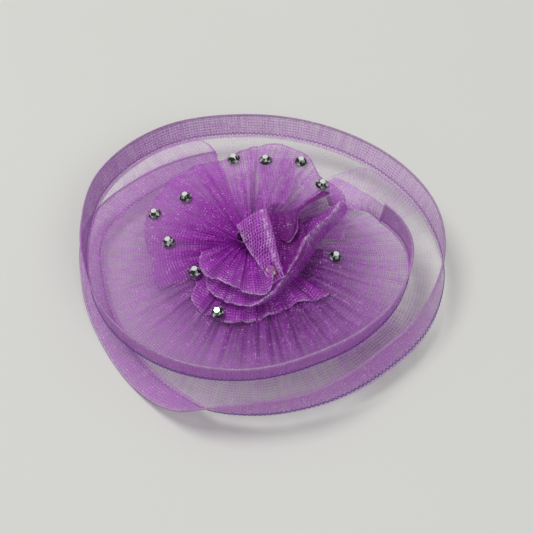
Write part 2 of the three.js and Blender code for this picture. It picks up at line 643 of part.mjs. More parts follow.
function addBrooch() {
  const barBottom = CLIP_HEIGHT - BROOCH_SHEET;
  const half = BROOCH_LENGTH / 2;
  const axisZ = barBottom - BROOCH_DROP;
  const hinge = { x: half - BROOCH_EAR_RADIUS - GAP, z: axisZ };
  const earY = NEEDLE_EYE_LENGTH / 2 + GAP + BROOCH_EAR / 2;
  const catchX = -half + HOUSING_LENGTH + HOUSING_INSET;
  const catchCentre = new THREE.Vector3(catchX, BROOCH_Y, axisZ);
  const lockOuter = LOCK_BORE_RADIUS + LOCK_WALL;
  const housingInner = lockOuter + GAP;
  const housingOuter = housingInner + HOUSING_WALL;

  const [front, back] = [BROOCH_Y - BROOCH_WIDTH / 2, BROOCH_Y + BROOCH_WIDTH / 2];
  const bar = box(-half, half, front, back, barBottom, CLIP_HEIGHT);
  const ears = [-1, 1].map((side) => ear(hinge, BROOCH_EAR_RADIUS, barBottom + BROOCH_SHEET / 2,
    RIVET_RADIUS + GAP, BROOCH_EAR, BROOCH_Y + side * earY));
  const housing = openRing(catchCentre, housingInner, housingOuter, HOUSING_LENGTH,
    ...HOUSING_OPENING);
  const post = box(catchX - HOUSING_LENGTH / 2, catchX + HOUSING_LENGTH / 2,
    BROOCH_Y - POST_HALF_WIDTH, BROOCH_Y + POST_HALF_WIDTH,
    axisZ + housingInner + HOUSING_WALL / 2, barBottom + BROOCH_SHEET / 2);
  add('brooch_bar', joined(bar, ...ears, housing, post), 'nickel');

  const reach = hinge.x - catchX + LOCK_LENGTH / 2 + NEEDLE_PAST_LOCK;
  const needleProfile = [
    [0, 0],
    [NEEDLE_RADIUS, 0],
    [NEEDLE_RADIUS, reach - NEEDLE_TAPER],
    [NEEDLE_TIP_RADIUS, reach],
    [0, reach],
  ];
  const shank = new THREE.LatheGeometry(needleProfile.map(([r, y]) => new THREE.Vector2(r, y)), 10);
  shank.rotateZ(Math.PI / 2);
  shank.translate(hinge.x - RIVET_RADIUS - GAP - NEEDLE_ROOT, BROOCH_Y, axisZ);
  const eye = new THREE.Shape().absarc(0, 0, NEEDLE_EYE_RADIUS, 0, 2 * Math.PI, false);
  eye.holes.push(new THREE.Path().absarc(0, 0, RIVET_RADIUS + GAP, 0, 2 * Math.PI, true));
  const eyeRing = new THREE.ExtrudeGeometry(eye,
    { depth: NEEDLE_EYE_LENGTH, bevelEnabled: false, curveSegments: 14 });
  eyeRing.rotateX(Math.PI / 2);
  eyeRing.translate(hinge.x, BROOCH_Y + NEEDLE_EYE_LENGTH / 2, axisZ);
  add('brooch_needle', joined(eyeRing, shank), 'nickel');

  const rivetHalf = earY + BROOCH_EAR / 2 + GAP + RIVET_HEAD;
  add('brooch_rivet', headedPin(new THREE.Vector3(hinge.x, BROOCH_Y, axisZ),
    RIVET_RADIUS, RIVET_RADIUS + RIVET_LIP, rivetHalf, RIVET_HEAD), 'nickel');

  const sleeve = openRing(catchCentre, LOCK_BORE_RADIUS, lockOuter, LOCK_LENGTH, ...LOCK_OPENING);
  const tabX = catchX + HOUSING_LENGTH / 2 + GAP;
  const tab = box(tabX, tabX + LOCK_TAB.thick, BROOCH_Y + LOCK_BORE_RADIUS + LOCK_WALL / 2,
    BROOCH_Y + lockOuter + LOCK_TAB.reach, axisZ - LOCK_TAB.halfHeight, axisZ + LOCK_TAB.halfHeight);
  add('brooch_lock_sleeve', joined(sleeve, tab), 'nickel');
}

addBase();
addBrim();
addFrills();
addFlowerHeart();
addStones();
addClip();
addBrooch();

// The origin is the middle of the whole piece's footprint, on the surface that it lies on.
headpiece.updateMatrixWorld(true);
const extent = new THREE.Box3().setFromObject(headpiece, true);
const middle = extent.getCenter(new THREE.Vector3());
headpiece.position.set(-middle.x, -middle.y, -extent.min.z);
headpiece.updateMatrixWorld(true);

export default headpiece;
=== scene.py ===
"""Looks for the organza fascinator: sheer hemmed brim, gathered frill flower, faceted stones,
felt base, clip and brooch pin. Shapes are worked out in millimetres about the base's centre."""

import math

import bmesh
import bpy
import numpy as np
from mathutils import Matrix, Vector


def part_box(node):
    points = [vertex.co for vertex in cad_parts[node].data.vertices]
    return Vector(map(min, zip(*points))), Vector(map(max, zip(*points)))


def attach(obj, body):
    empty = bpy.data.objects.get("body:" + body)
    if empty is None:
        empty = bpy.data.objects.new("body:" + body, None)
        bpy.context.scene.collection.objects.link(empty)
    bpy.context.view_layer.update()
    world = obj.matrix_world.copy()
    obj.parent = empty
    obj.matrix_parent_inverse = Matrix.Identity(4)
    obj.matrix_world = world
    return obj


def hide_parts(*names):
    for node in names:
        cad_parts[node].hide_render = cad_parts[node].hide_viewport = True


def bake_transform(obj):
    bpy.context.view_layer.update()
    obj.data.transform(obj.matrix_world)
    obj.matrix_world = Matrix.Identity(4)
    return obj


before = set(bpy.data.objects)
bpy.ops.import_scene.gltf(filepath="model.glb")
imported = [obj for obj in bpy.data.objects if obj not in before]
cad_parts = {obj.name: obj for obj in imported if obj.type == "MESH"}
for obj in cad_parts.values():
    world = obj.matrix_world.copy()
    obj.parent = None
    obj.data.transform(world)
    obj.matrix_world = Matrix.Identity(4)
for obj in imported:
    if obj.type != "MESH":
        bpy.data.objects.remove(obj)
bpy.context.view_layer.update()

MM = 0.001
ROOT_BODY = "headpiece"

# ---- the base's centre, which every millimetre shape is measured from

felt_low, felt_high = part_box("felt_backing")
buckram_low, buckram_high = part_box("buckram_stiffener")
BASE = np.array([(felt_low.x + felt_high.x) / 2, (felt_low.y + felt_high.y) / 2, 0.0])


def place(points):
    """Millimetres about the base's centre to the frame's metres."""
    return np.asarray(points, float) * MM + BASE


def box_of(node):
    """A CAD node's lowest and highest corner, in millimetres about the base's centre."""
    return [(np.array(corner) - BASE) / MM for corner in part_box(node)]


# ---- camera and stage

CAMERA_ELEVATION = 52.0
CAMERA_DISTANCE = 420.0
CAMERA_TARGET = (3.45, 8.55, 0.0)
CAMERA_ANGLE = 23.9
CAMERA_CLIP = (0.01, 20)  # metres
# Aimed at the origin: name, place and size in metres, watts, colour.
LIGHTS = [
    ("key_light", (-0.85, 0.5, 2.1), 1.3, 32.5, (1.0, 0.995, 0.98)),
    ("fill_light", (0.9, -1.3, 1.5), 1.4, 9.5, (0.98, 0.99, 1.0)),
]
WORLD_COLOUR = (0.95, 0.96, 0.95, 1)
WORLD_STRENGTH = 0.32
SHEETS_SEEN_THROUGH = 40
LIGHT_BOUNCES = 10

scene = bpy.context.scene


def add_camera():
    data = bpy.data.cameras.new("camera")
    data.angle = math.radians(CAMERA_ANGLE)
    camera = bpy.data.objects.new("camera", data)
    scene.collection.objects.link(camera)
    tilt = math.radians(CAMERA_ELEVATION)
    ahead = Vector((0, math.cos(tilt), -math.sin(tilt)))
    camera.location = Vector(place(CAMERA_TARGET)) - ahead * CAMERA_DISTANCE * MM
    camera.rotation_euler = ahead.to_track_quat("-Z", "Y").to_euler()
    data.clip_start, data.clip_end = CAMERA_CLIP
    scene.camera = camera


def add_light(name, place_at, size, watts, tint):
    data = bpy.data.lights.new(name, "AREA")
    data.shape, data.size, data.energy, data.color = "DISK", size, watts, tint
    light = bpy.data.objects.new(name, data)
    scene.collection.objects.link(light)
    light.location = place_at
    light.rotation_euler = (-Vector(place_at)).to_track_quat("-Z", "Y").to_euler()


def add_lights():
    for row in LIGHTS:
        add_light(*row)
    world = bpy.data.worlds.new("studio")
    world.use_nodes = True
    background = world.node_tree.nodes["Background"]
    background.inputs["Color"].default_value = WORLD_COLOUR
    background.inputs["Strength"].default_value = WORLD_STRENGTH
    scene.world = world
    scene.view_settings.view_transform = "Standard"
    scene.cycles.transparent_max_bounces = SHEETS_SEEN_THROUGH
    scene.cycles.max_bounces = LIGHT_BOUNCES


# ---- material helpers


class Nodes:
    """A material's node tree, with short calls to add and link nodes."""

    def __init__(self, name):
        self.material = bpy.data.materials.new(name)
        self.material.use_nodes = True
        self.tree = self.material.node_tree
        self.shader = self.tree.nodes["Principled BSDF"]

    def add(self, kind, inputs=None, **settings):
        node = self.tree.nodes.new(kind)
        for key, value in settings.items():
            setattr(node, key, value)
        for key, value in (inputs or {}).items():
            self.feed(node.inputs[key], value)
        return node

    def feed(self, socket, value):
        if isinstance(value, bpy.types.NodeSocket):
            self.tree.links.new(value, socket)
        else:
            socket.default_value = value

    def math(self, operation, *values):
        node = self.add("ShaderNodeMath", operation=operation)
        for i, value in enumerate(values):
            self.feed(node.inputs[i], value)
        return node.outputs[0]

    def plus(self, *values):
        return self.math("ADD", *values)

    def minus(self, *values):
        return self.math("SUBTRACT", *values)

    def times(self, *values):
        return self.math("MULTIPLY", *values)

    def vector(self, operation, first, second):
        node = self.add("ShaderNodeVectorMath", {0: first, 1: second}, operation=operation)
        return node.outputs[0]

    def step(self, value, low, high, to_low=0.0, to_high=1.0):
        node = self.add("ShaderNodeMapRange", interpolation_type="SMOOTHSTEP")
        for key, entry in (("Value", value), ("From Min", low), ("From Max", high),
                           ("To Min", to_low), ("To Max", to_high)):
            self.feed(node.inputs[key], entry)
        return node.outputs[0]

    def mix(self, share, first, second):
        node = self.add("ShaderNodeMix", data_type="RGBA")
        self.feed(node.inputs[0], share)
        self.feed(node.inputs[6], first)
        self.feed(node.inputs[7], second)
        return node.outputs[2]

    def noise(self, vector, scale, detail=2.0, roughness=0.5):
        return self.add("ShaderNodeTexNoise", {"Vector": vector, "Scale": scale, "Detail": detail,
                                               "Roughness": roughness}).outputs["Fac"]

    def attribute(self, name):
        return self.add("ShaderNodeAttribute", attribute_name=name).outputs["Fac"]

    def place(self):
        return self.add("ShaderNodeTexCoord").outputs["Object"]

    def bump(self, height, distance, strength=1.0):
        node = self.add("ShaderNodeBump", {"Height": height, "Distance": distance,
                                           "Strength": strength})
        self.feed(self.shader.inputs["Normal"], node.outputs[0])

    def set(self, **values):
        for key, value in values.items():
            self.feed(self.shader.inputs[key.replace("_", " ")], value)
        return self.material


def colour(red, green, blue):
    """An sRGB colour, 0 to 255, as the linear one that a shader takes."""
    linear = [c / 12.92 if c <= 0.04045 else ((c + 0.055) / 1.055) ** 2.4
              for c in (red / 255, green / 255, blue / 255)]
    return (*linear, 1.0)


# ---- materials

WEAVE_PITCH = 0.95  # mm between the ribs that show in the organza
FINE_PITCH = 0.42  # mm between its finest threads
THREAD_WANDER = 1.6  # mm that the threads stray sideways
WANDER_SCALE = 0.09  # of the straying, a mm
WARP_SHARE = 0.75  # of the relief of the ribs the other way
COARSE_SHARE = 0.7  # of the ribs in the weave; the rest is the finest threads
MEAN_WEAVE = 0.45  # share of the cloth that its ribs take
MOST_COVER = 0.9  # that one thickness can have
PATCH_SCALE = 0.22  # of the cover's uneven patches, a mm
STREAK_STRETCH = (1.6, 0.07, 1)
DEEPEST_LAYERS = 4.4  # where the colour is wholly the deep one
# Painted glints: white-lilac specks on the ribs and along marked rims, in place of real highlights.
GLINT_SCALE = 1900.0  # of the glints, a metre
EDGE_GLINT_SCALE = 900.0
GLINT_COVER = 0.8
GLINT_COLOUR = colour(234, 208, 241)
RIB_COLOUR = colour(214, 128, 232)
WEAVE_BUMP = 0.00018  # metres


def organza(name, pale, deep, cover, rib, glint, thread, uneven_by):
    """Sheer woven cloth. The layers attribute says how many thicknesses lie on each other, with painted
    shade of pleats and creases added in, rib and thread how far the ribs stand out in cover and in
    colour, uneven_by how the cover varies. glint and the edge attribute set painted glints."""
    n = Nodes(name)
    uv = n.add("ShaderNodeUVMap", uv_map="weave").outputs[0]
    wander = n.add("ShaderNodeTexNoise", {"Vector": uv, "Scale": WANDER_SCALE, "Detail": 1.0})
    shift = n.vector("MULTIPLY", wander.outputs["Color"], (THREAD_WANDER, THREAD_WANDER, 0))
    split = n.add("ShaderNodeSeparateXYZ", {0: n.vector("ADD", uv, shift)})
    ribs = []
    for output, pitch in ((0, WEAVE_PITCH), (1, WEAVE_PITCH), (0, FINE_PITCH), (1, FINE_PITCH)):
        wave = n.math("PINGPONG", n.math("DIVIDE", split.outputs[output], pitch), 0.5)
        ribs.append(n.step(wave, 0.2, 0.45))
    coarse = n.math("MAXIMUM", n.times(ribs[0], WARP_SHARE), ribs[1])
    fine = n.math("MAXIMUM", ribs[2], ribs[3])
    weave = n.plus(n.times(coarse, COARSE_SHARE), n.times(fine, 1 - COARSE_SHARE))
    patch = n.noise(uv, PATCH_SCALE, 3.0)
    streak = n.noise(n.vector("MULTIPLY", uv, STREAK_STRETCH), 1.0, 2.0)
    layers = n.attribute("layers")
    # edge marks where the painted rim glints go
    edge = n.attribute("edge")

    # cover
    ribbed = n.plus(cover, n.times(n.minus(weave, MEAN_WEAVE), rib))
    spread = n.step(n.plus(patch, streak), 0.7, 1.3, 1 - uneven_by, 1 + uneven_by)
    uneven = n.times(ribbed, spread)
    hole = n.minus(1.0, n.math("MINIMUM", uneven, MOST_COVER))
    alpha = n.minus(1.0, n.math("POWER", hole, layers))

    # painted glints: bright specks on the ribs, and along rims that the edge attribute marks
    spark = n.noise(n.place(), GLINT_SCALE, 1.0)
    glinting = n.times(n.step(spark, 0.56, 0.67), n.step(patch, 0.42, 0.62, 0.2, 1.0))
    sparkle = n.times(glinting, n.times(coarse, glint))
    edge_spark = n.noise(n.place(), EDGE_GLINT_SCALE, 2.0)
    edge_glint = n.times(edge, n.step(edge_spark, 0.42, 0.62, 0.25, 1.0))
    bright = n.math("MINIMUM", n.math("MAXIMUM", sparkle, edge_glint), 1.0)

    # colour
    depth = n.step(n.plus(layers, n.times(streak, 0.9)), 0.9, DEEPEST_LAYERS)
    body = n.mix(depth, pale, deep)
    thin = n.minus(1.0, n.times(depth, 0.8))
    pale_patch = n.times(n.step(patch, 0.35, 0.75), 0.25)
    body = n.mix(n.times(pale_patch, thin), body, pale)
    body = n.mix(n.times(n.times(coarse, thread), thin), body, RIB_COLOUR)
    lit = n.mix(bright, body, GLINT_COLOUR)
    n.bump(n.plus(weave, n.times(streak, 1.5)), WEAVE_BUMP, 0.5)
    seen = n.math("MAXIMUM", alpha, n.times(bright, GLINT_COVER))
    return n.set(Base_Color=lit, Alpha=seen, Roughness=n.step(streak, 0.3, 0.7, 0.36, 0.6),
                 Specular_IOR_Level=0.2)


def thread_material():
    n = Nodes("sewing_thread")
    twist = n.add("ShaderNodeTexWave", {"Vector": n.place(), "Scale": 900.0, "Distortion": 2.0,
                                        "Detail": 2.0}).outputs["Fac"]
    tone = n.mix(n.times(twist, 0.7), colour(74, 44, 140), colour(120, 84, 176))
    n.bump(twist, 0.0001, 0.6)
    return n.set(Base_Color=tone, Roughness=n.step(twist, 0.0, 1.0, 0.5, 0.75), Sheen_Weight=0.3)


def nylon_material():
    n = Nodes("nylon_line")
    cloud = n.noise(n.place(), 260.0, 3.0)
    tone = n.mix(cloud, colour(168, 146, 172), colour(206, 192, 206))
    n.bump(cloud, 0.00004, 0.3)
    return n.set(Base_Color=tone, Roughness=n.step(cloud, 0.3, 0.7, 0.2, 0.4), Alpha=0.82)


def felt_material():
    n = Nodes("wool_felt")
    place_at = n.place()
    fibres = n.noise(place_at, 1400.0, 6.0, 0.7)
    mottle = n.noise(place_at, 160.0, 3.0)
    fuzz = n.add("ShaderNodeTexVoronoi", {"Vector": place_at, "Scale": 900.0}).outputs["Distance"]
    tone = n.mix(mottle, colour(104, 48, 132), colour(142, 84, 166))
    tone = n.mix(n.times(fibres, 0.45), tone, colour(176, 128, 196))
    n.bump(n.plus(fibres, n.times(fuzz, 0.6)), 0.0004, 0.8)
    return n.set(Base_Color=tone, Roughness=n.step(fibres, 0.2, 0.8, 0.85, 1.0), Sheen_Weight=0.5,
                 Sheen_Roughness=0.6)


def buckram_material():
    n = Nodes("stiff_buckram")
    split = n.add("ShaderNodeSeparateXYZ", {0: n.place()})
    threads = [n.step(n.math("PINGPONG", n.times(split.outputs[k], 900.0), 0.5), 0.1, 0.4)
               for k in (0, 1)]
    mesh = n.math("MAXIMUM", *threads)
    size = n.noise(n.place(), 300.0, 3.0)
    tone = n.mix(mesh, colour(176, 160, 184), colour(226, 218, 230))
    tone = n.mix(n.times(size, 0.4), tone, colour(206, 190, 212))
    n.bump(mesh, 0.0002, 0.7)
    return n.set(Base_Color=tone, Roughness=n.step(size, 0.3, 0.7, 0.7, 0.95))


def metal_material(name, bright, dull, scratch_scale, polish):
    n = Nodes(name)
    stretched = n.add("ShaderNodeMapping",
                      {"Vector": n.place(), "Scale": (4.0, 90.0, 90.0)}).outputs[0]
    brushed = n.noise(stretched, scratch_scale, 4.0, 0.6)
    tarnish = n.noise(n.place(), 120.0, 4.0, 0.6)
    tone = n.mix(n.step(tarnish, 0.45, 0.8), bright, dull)
    wear = n.step(n.noise(n.place(), 700.0, 3.0), 0.6, 0.8, 0.0, 0.12)
    rough = n.plus(n.step(brushed, 0.3, 0.7, polish, polish + 0.14), wear)
    n.bump(brushed, 0.00001, 0.15)
    return n.set(Base_Color=tone, Metallic=1.0, Roughness=rough)


def stone_material(name, dark, bright):
    """Foil-backed cut glass with painted reflections: each facet's tone stands in for what its cut
    sends back, from dark to bright.
    """
    n = Nodes(name)
    facet = n.attribute("facet")
    cloud = n.noise(n.place(), 1100.0, 2.0)
    cut = n.plus(facet, n.times(n.minus(cloud, 0.5), 0.25))
    tone = n.mix(n.step(cut, 0.25, 0.95), dark, bright)
    return n.set(Base_Color=tone, Metallic=0.2, Roughness=n.step(cloud, 0.3, 0.7, 0.05, 0.12),
                 Coat_Weight=1.0, Coat_Roughness=0.03)


def floor_material():
    n = Nodes("pale_floor")
    grain = n.noise(n.place(), 6.0, 3.0)
    tone = n.mix(grain, colour(214, 215, 210), colour(219, 219, 216))
    return n.set(Base_Color=tone, Roughness=n.step(grain, 0.0, 1.0, 0.75, 0.9))


# ---- shape helpers


def read_outline(rows, at):
    """Each column of a table, read at any value of its first column, along a smooth cubic."""
    table = np.array(rows, float)
    x, y = table[:, 0], table[:, 1:]
    slope = np.empty_like(y)
    slope[1:-1] = (y[2:] - y[:-2]) / (x[2:] - x[:-2])[:, None]
    slope[0], slope[-1] = (y[1] - y[0]) / (x[1] - x[0]), (y[-1] - y[-2]) / (x[-1] - x[-2])
    at = np.atleast_1d(np.asarray(at, float))
    i = np.clip(np.searchsorted(x, at, side="right") - 1, 0, len(x) - 2)
    span = (x[i + 1] - x[i])[:, None]
    t = np.clip((at - x[i]) / span[:, 0], 0, 1)[:, None]
    return ((2 * t**3 - 3 * t**2 + 1) * y[i] + (t**3 - 2 * t**2 + t) * slope[i] * span
            + (3 * t**2 - 2 * t**3) * y[i + 1] + (t**3 - t**2) * slope[i + 1] * span)


def through(points, share):
    """Points along a smooth line through the given ones, at shares from 0 to 1 of its length."""
    points = np.asarray(points, float)
    steps = np.linalg.norm(np.diff(points, axis=0), axis=1)
    along = np.concatenate([[0], np.cumsum(steps)]) / steps.sum()
    return read_outline(np.column_stack([along, points]), share)


def radial(angle, radius, height, centre=(0.0, 0.0)):
    turn = np.radians(angle)
    return np.stack([centre[0] + radius * np.cos(turn), centre[1] + radius * np.sin(turn),
                     height + 0 * turn], axis=-1)


def ripple(at, counts, seed):
    """Uneven waves along an angle in degrees, about -1 to 1, the same on every run."""
    random = np.random.default_rng(seed)
    total = np.zeros_like(np.asarray(at, float))
    for count in counts:
        phase, bend, size = random.uniform(0, 2 * math.pi, 2).tolist() + [random.uniform(0.6, 1.0)]
        turn = np.radians(at)
        slow = round(0.21 * count)
        total += size * np.sin(count * turn + phase + 0.9 * np.sin(slow * turn + bend))
    return total / (0.8 * len(counts))


def spans(points, axis):
    """Running length along one axis of a grid of points."""
    steps = np.linalg.norm(np.diff(points, axis=axis), axis=-1)
    pad = [(0, 0), (0, 0)]
    pad[axis] = (1, 0)
    return np.cumsum(np.pad(steps, pad), axis=axis)


def new_piece(name, mesh, material):
    mesh.materials.append(material)
    piece = bpy.data.objects.new(name, mesh)
    scene.collection.objects.link(piece)
    return piece


def smooth_mesh(name, points, faces):
    """A smooth mesh from millimetre points."""
    mesh = bpy.data.meshes.new(name)
    mesh.from_pydata(place(points).reshape(-1, 3).tolist(), [], faces)
    mesh.update()
    mesh.shade_smooth()
    return mesh


def cloth(name, points, weave, layers, edge, material, slot, *nodes):
    """A sheet from a grid of millimetre points, with its weave coordinates and its attributes."""
    rows, cols = points.shape[:2]
    index = np.arange(rows * cols).reshape(rows, cols)
    corners = [index[:-1, :-1], index[:-1, 1:], index[1:, 1:], index[1:, :-1]]
    faces = np.stack(corners, -1).reshape(-1, 4)
    mesh = smooth_mesh(name, points, faces.tolist())
    uv = mesh.uv_layers.new(name="weave")
    uv.data.foreach_set("uv", weave.reshape(-1, 2)[faces.reshape(-1)].astype(np.float32).ravel())
    for key, values in (("layers", layers), ("edge", edge)):
        held = mesh.attributes.new(key, "FLOAT", "POINT")
        full = np.broadcast_to(values, (rows, cols))
        held.data.foreach_set("value", full.astype(np.float32).ravel())
    return finished(new_piece(name, mesh, material), slot, *nodes)


def finished(piece, slot, *nodes, body=ROOT_BODY):
    if nodes:
        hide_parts(*nodes)
    if body:
        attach(piece, body)
    return piece


def tube(name, points, radius, material, slot, *nodes, sides=8, body=ROOT_BODY):
    """A round line through millimetre points, closed at its ends."""
    points = np.asarray(points, float)
    ahead = np.gradient(points, axis=0)
    ahead /= np.linalg.norm(ahead, axis=1)[:, None]
    side = np.cross(ahead, [0.0, 0.0, 1.0])
    weak = np.linalg.norm(side, axis=1) < 0.05
    side[weak] = np.cross(ahead[weak], [1.0, 0.0, 0.0])
    side /= np.linalg.norm(side, axis=1)[:, None]
    up = np.cross(side, ahead)
    turn = np.linspace(0, 2 * math.pi, sides, endpoint=False)
    ring = (points[:, None] + radius * (np.cos(turn)[None, :, None] * side[:, None]
                                        + np.sin(turn)[None, :, None] * up[:, None]))
    count = len(points)
    faces = [(i * sides + k, i * sides + (k + 1) % sides, (i + 1) * sides + (k + 1) % sides,
              (i + 1) * sides + k) for i in range(count - 1) for k in range(sides)]
    faces += [tuple(range(sides))[::-1], tuple(range((count - 1) * sides, count * sides))]
    piece = new_piece(name, smooth_mesh(name, ring, faces), material)
    return finished(piece, slot, *nodes, body=body)


# ---- brim

# Strip, along its two turns: angle, radius and height of the hem's stitching, and the hem's
# lean from upright, outward positive.
BRIM_OUTLINE = [
    (105, 48.5, 6.5, 80), (135, 51.5, 5.5, 78), (158, 54.5, 3.8, 78), (180, 50.0, 2.6, 94),
    (205, 47.0, 2.4, 104), (228, 47.8, 2.8, 104), (243, 49.6, 4.0, 78), (255, 52.0, 5.2, 30),
    (270, 52.5, 6.0, 3), (290, 52.5, 6.0, -5), (318, 54.5, 6.0, -32), (340, 58.5, 6.0, -28),
    (362, 61.0, 7.0, -3), (385, 61.0, 8.5, 25), (425, 60.0, 9.0, 30), (455, 61.0, 9.0, 30),
    (480, 63.5, 9.0, 28), (505, 61.5, 9.5, 25), (525, 57.0, 9.5, 15), (545, 53.5, 9.5, 8),
    (570, 50.5, 9.5, 2), (595, 46.5, 9.3, 2), (625, 42.7, 9.7, 8), (655, 41.3, 10.0, 5),
    (680, 43.7, 10.0, 3), (705, 47.5, 10.3, 5), (728, 49.6, 10.6, 6), (745, 45.3, 11.4, 12),
    (760, 37.5, 12.2, 15),
]
# How many thicknesses of organza the strip amounts to: angle, near the hem, at the gathers.
BRIM_LAYERS = [
    (105, 0.8, 2.6), (158, 0.6, 2.6), (205, 0.7, 2.6), (250, 0.5, 2.4), (300, 0.45, 2.2),
    (340, 0.26, 1.2), (385, 0.1, 0.8), (450, 0.1, 1.0), (480, 0.2, 1.8), (525, 0.4, 2.8),
    (570, 0.6, 3.8), (610, 1.4, 5.4), (650, 1.8, 6.2), (700, 1.2, 5.0), (745, 1.0, 4.0),
    (760, 2.0, 3.0),
]
HEM_WIDTH = 7.0
HEM_HALF_GAP = 0.28  # between the hem's middle and each of its two layers
HEM_TRIM = 0.1  # between each layer's top and the line's centre
LINE_RADIUS = 0.34
LINE_CASING = 1.25  # of its radius, the cloth's round it
HEM_RAW_EDGE = 1.1  # of the inner layer, past the stitching
HEM_END_ANGLE = 745.5  # where the hem turns into the end fold
GATHER_RADIUS = 5.5
SHOULDER_RADIUS = 22.0
STRIP_RISE = 1.5  # that the gathered edge climbs in one turn
STRIP_SAG = 0.04
STRIP_STEP = 0.6  # degrees
STRIP_BOTTOM = buckram_high.z / MM + 0.6
WEB_POINTS = 30  # across the web
WEB_KEYS = (0, 0.34, 0.67, 1)  # shares of it: gathers, shoulder, midway, stitched edge
SHOULDER_SOFTENING = (0.35, 0.12)  # mm down, and over which share
# Waves a turn, and their seed.
PLEATS = ((47, 71, 98), 3)
WAVES = ((9, 14), 5)
DRIFTS = ((17, 29), 8)
PUCKERS = ((110, 163, 241), 21)
HEM_CREASES = ((88, 131, 190), 33)
PLEAT_LIFT = 0.8  # of their middle, over the drawn surface
# Their heights in mm, over shares of the web from its gathers to its stitched edge.
PLEAT_DEPTH = ((0, 0.1, 0.2, 0.45, 0.8, 1), (0.45, 0.9, 1.1, 0.85, 0.3, 0.0))
WAVE_DEPTH = ((0, 0.3, 0.7, 1), (0, 0.1, 0.7, 0))
DRIFT_DEPTH = ((0, 0.5, 1), (0, 0.66, 0))
WEAVE_TAKEN = 1.6  # mm of weave a mm of reach
GATHER_FALL = 1.3  # how fast the layers fall off from the gathers
# Painted shade: the web's pleats deepen its colour through its layers.
PLEAT_SHADE = 0.34  # that a pleat adds to the layers
END_LAYERS = (1.4, 1.6)  # added at the strip's ends, and degrees
# Where the lower turn lies double: angle and share, size in both, layers added.
DOUBLED = ((324, 0.76), (17, 0.2), 1.3)
LEAST_LAYERS, MOST_LAYERS = 0.1, 6
# Along the hem, by angle: its flatness, the strength of the painted glint along its fold, and its
# layers.
HEM_FLATNESS = ((150, 175, 240, 262, 420), (0.25, 1, 1, 0.35, 0.2))
HEM_FOLD_GLINT = ((105, 160, 180, 245, 262, 500, 560, 600, 740, 760),
               (0.1, 0.3, 0.75, 0.6, 0.12, 0.12, 0.3, 0.85, 0.6, 0.3))
HEM_LAYERS = ((105, 180, 225, 262, 330, 385, 455, 500, 560, 620, 700, 760),
              (1.0, 0.7, 0.9, 1.2, 0.8, 0.65, 0.9, 1.7, 1.6, 1.2, 1.5, 1.8))
HEM_PUCKER = 0.16  # mm
# Painted shade of creases along the hem, added to its layers.
HEM_CREASE_SHADE = 0.12
# Painted glint along the hem's fold:
HEM_FOLD_BRIGHT = 0.45  # mm of its top that is bright


def hem_frame(angle):
    """The stitched edge's points, and its directions up the hem and out of it."""
    radius, height, lean = read_outline(BRIM_OUTLINE, angle).T
    lean = np.radians(lean)
    across = radial(angle, np.sin(lean), np.cos(lean))
    outer = radial(angle, np.cos(lean), -np.sin(lean))
    return radial(angle, radius, height), across, outer


def web_points(angle, share, stitched, near):
    """The strip from its gathers over a shoulder to the stitched edge, and its mean reach."""
    gather = STRIP_BOTTOM + STRIP_RISE * (angle - angle[0]) / 360
    shoulder = radial(angle, SHOULDER_RADIUS + 0 * angle, gather)
    reach = np.linalg.norm(stitched - shoulder, axis=1)
    midway = (shoulder + stitched) / 2 - np.outer(STRIP_SAG * reach, (0, 0, 1))
    gathers = radial(angle, GATHER_RADIUS + 0 * angle, gather)
    columns = np.stack([gathers, shoulder, midway, stitched], 1)
    web = np.stack([np.stack([np.interp(share, WEB_KEYS, row[:, k]) for k in range(3)], -1)
                    for row in columns])
    let_down, over = SHOULDER_SOFTENING
    web[..., 2] -= np.exp(-((share - WEB_KEYS[1]) / over) ** 2) * let_down
    pleat = PLEAT_LIFT + ripple(angle, *PLEATS)[:, None]
    wave = ripple(angle, *WAVES)[:, None]
    web[..., 2] += (np.interp(share, *PLEAT_DEPTH) * pleat
                    + np.interp(share, *WAVE_DEPTH) * wave * np.clip(near, 0.3, 1)[:, None])
    side = np.gradient(stitched, axis=0)
    side /= np.linalg.norm(side, axis=1)[:, None]
    drift = np.interp(share, *DRIFT_DEPTH) * ripple(angle, *DRIFTS)[:, None]
    return web + drift[..., None] * side[:, None], reach.mean()


def web_layers(angle, share, near, close):
    """How many thicknesses lie on each other, from the gathers to the stitched edge, with painted shade
    along the pleats.
    """
    gathered = near[:, None] + (close - near)[:, None] * (1 - share) ** GATHER_FALL
    # painted shade that follows the pleats
    crease = PLEAT_SHADE * np.clip(ripple(angle, *PLEATS), -1, 1)[:, None] * gathered
    from_end = np.minimum(angle - angle[0], angle[-1] - angle)
    folded = END_LAYERS[0] * np.exp(-((from_end / END_LAYERS[1]) ** 4))[:, None]
    middle, size, added = DOUBLED
    doubled = (np.exp(-((angle - middle[0]) / size[0]) ** 4)[:, None]
               * np.exp(-((share - middle[1]) / size[1]) ** 4))
    return np.clip(gathered + added * doubled + crease + folded, LEAST_LAYERS, MOST_LAYERS)


def hem_section():
    """The hem's outline, outward and upward: outer layer, casing, inner layer, raw edge."""
    rise = np.linspace(0, 1, 7)
    gap = HEM_HALF_GAP * np.sin(0.5 * math.pi * (0.25 + 0.75 * rise))
    turn = np.linspace(0, math.pi, 7)[1:-1]
    casing = LINE_RADIUS * LINE_CASING
    outward = np.concatenate([gap, casing * np.cos(turn), -gap[::-1], [-gap[0] * 0.8]])
    upward = np.concatenate([rise * (HEM_WIDTH - HEM_TRIM), HEM_WIDTH + casing * np.sin(turn),
                             rise[::-1] * (HEM_WIDTH - HEM_TRIM), [-HEM_RAW_EDGE]])
    return outward, upward


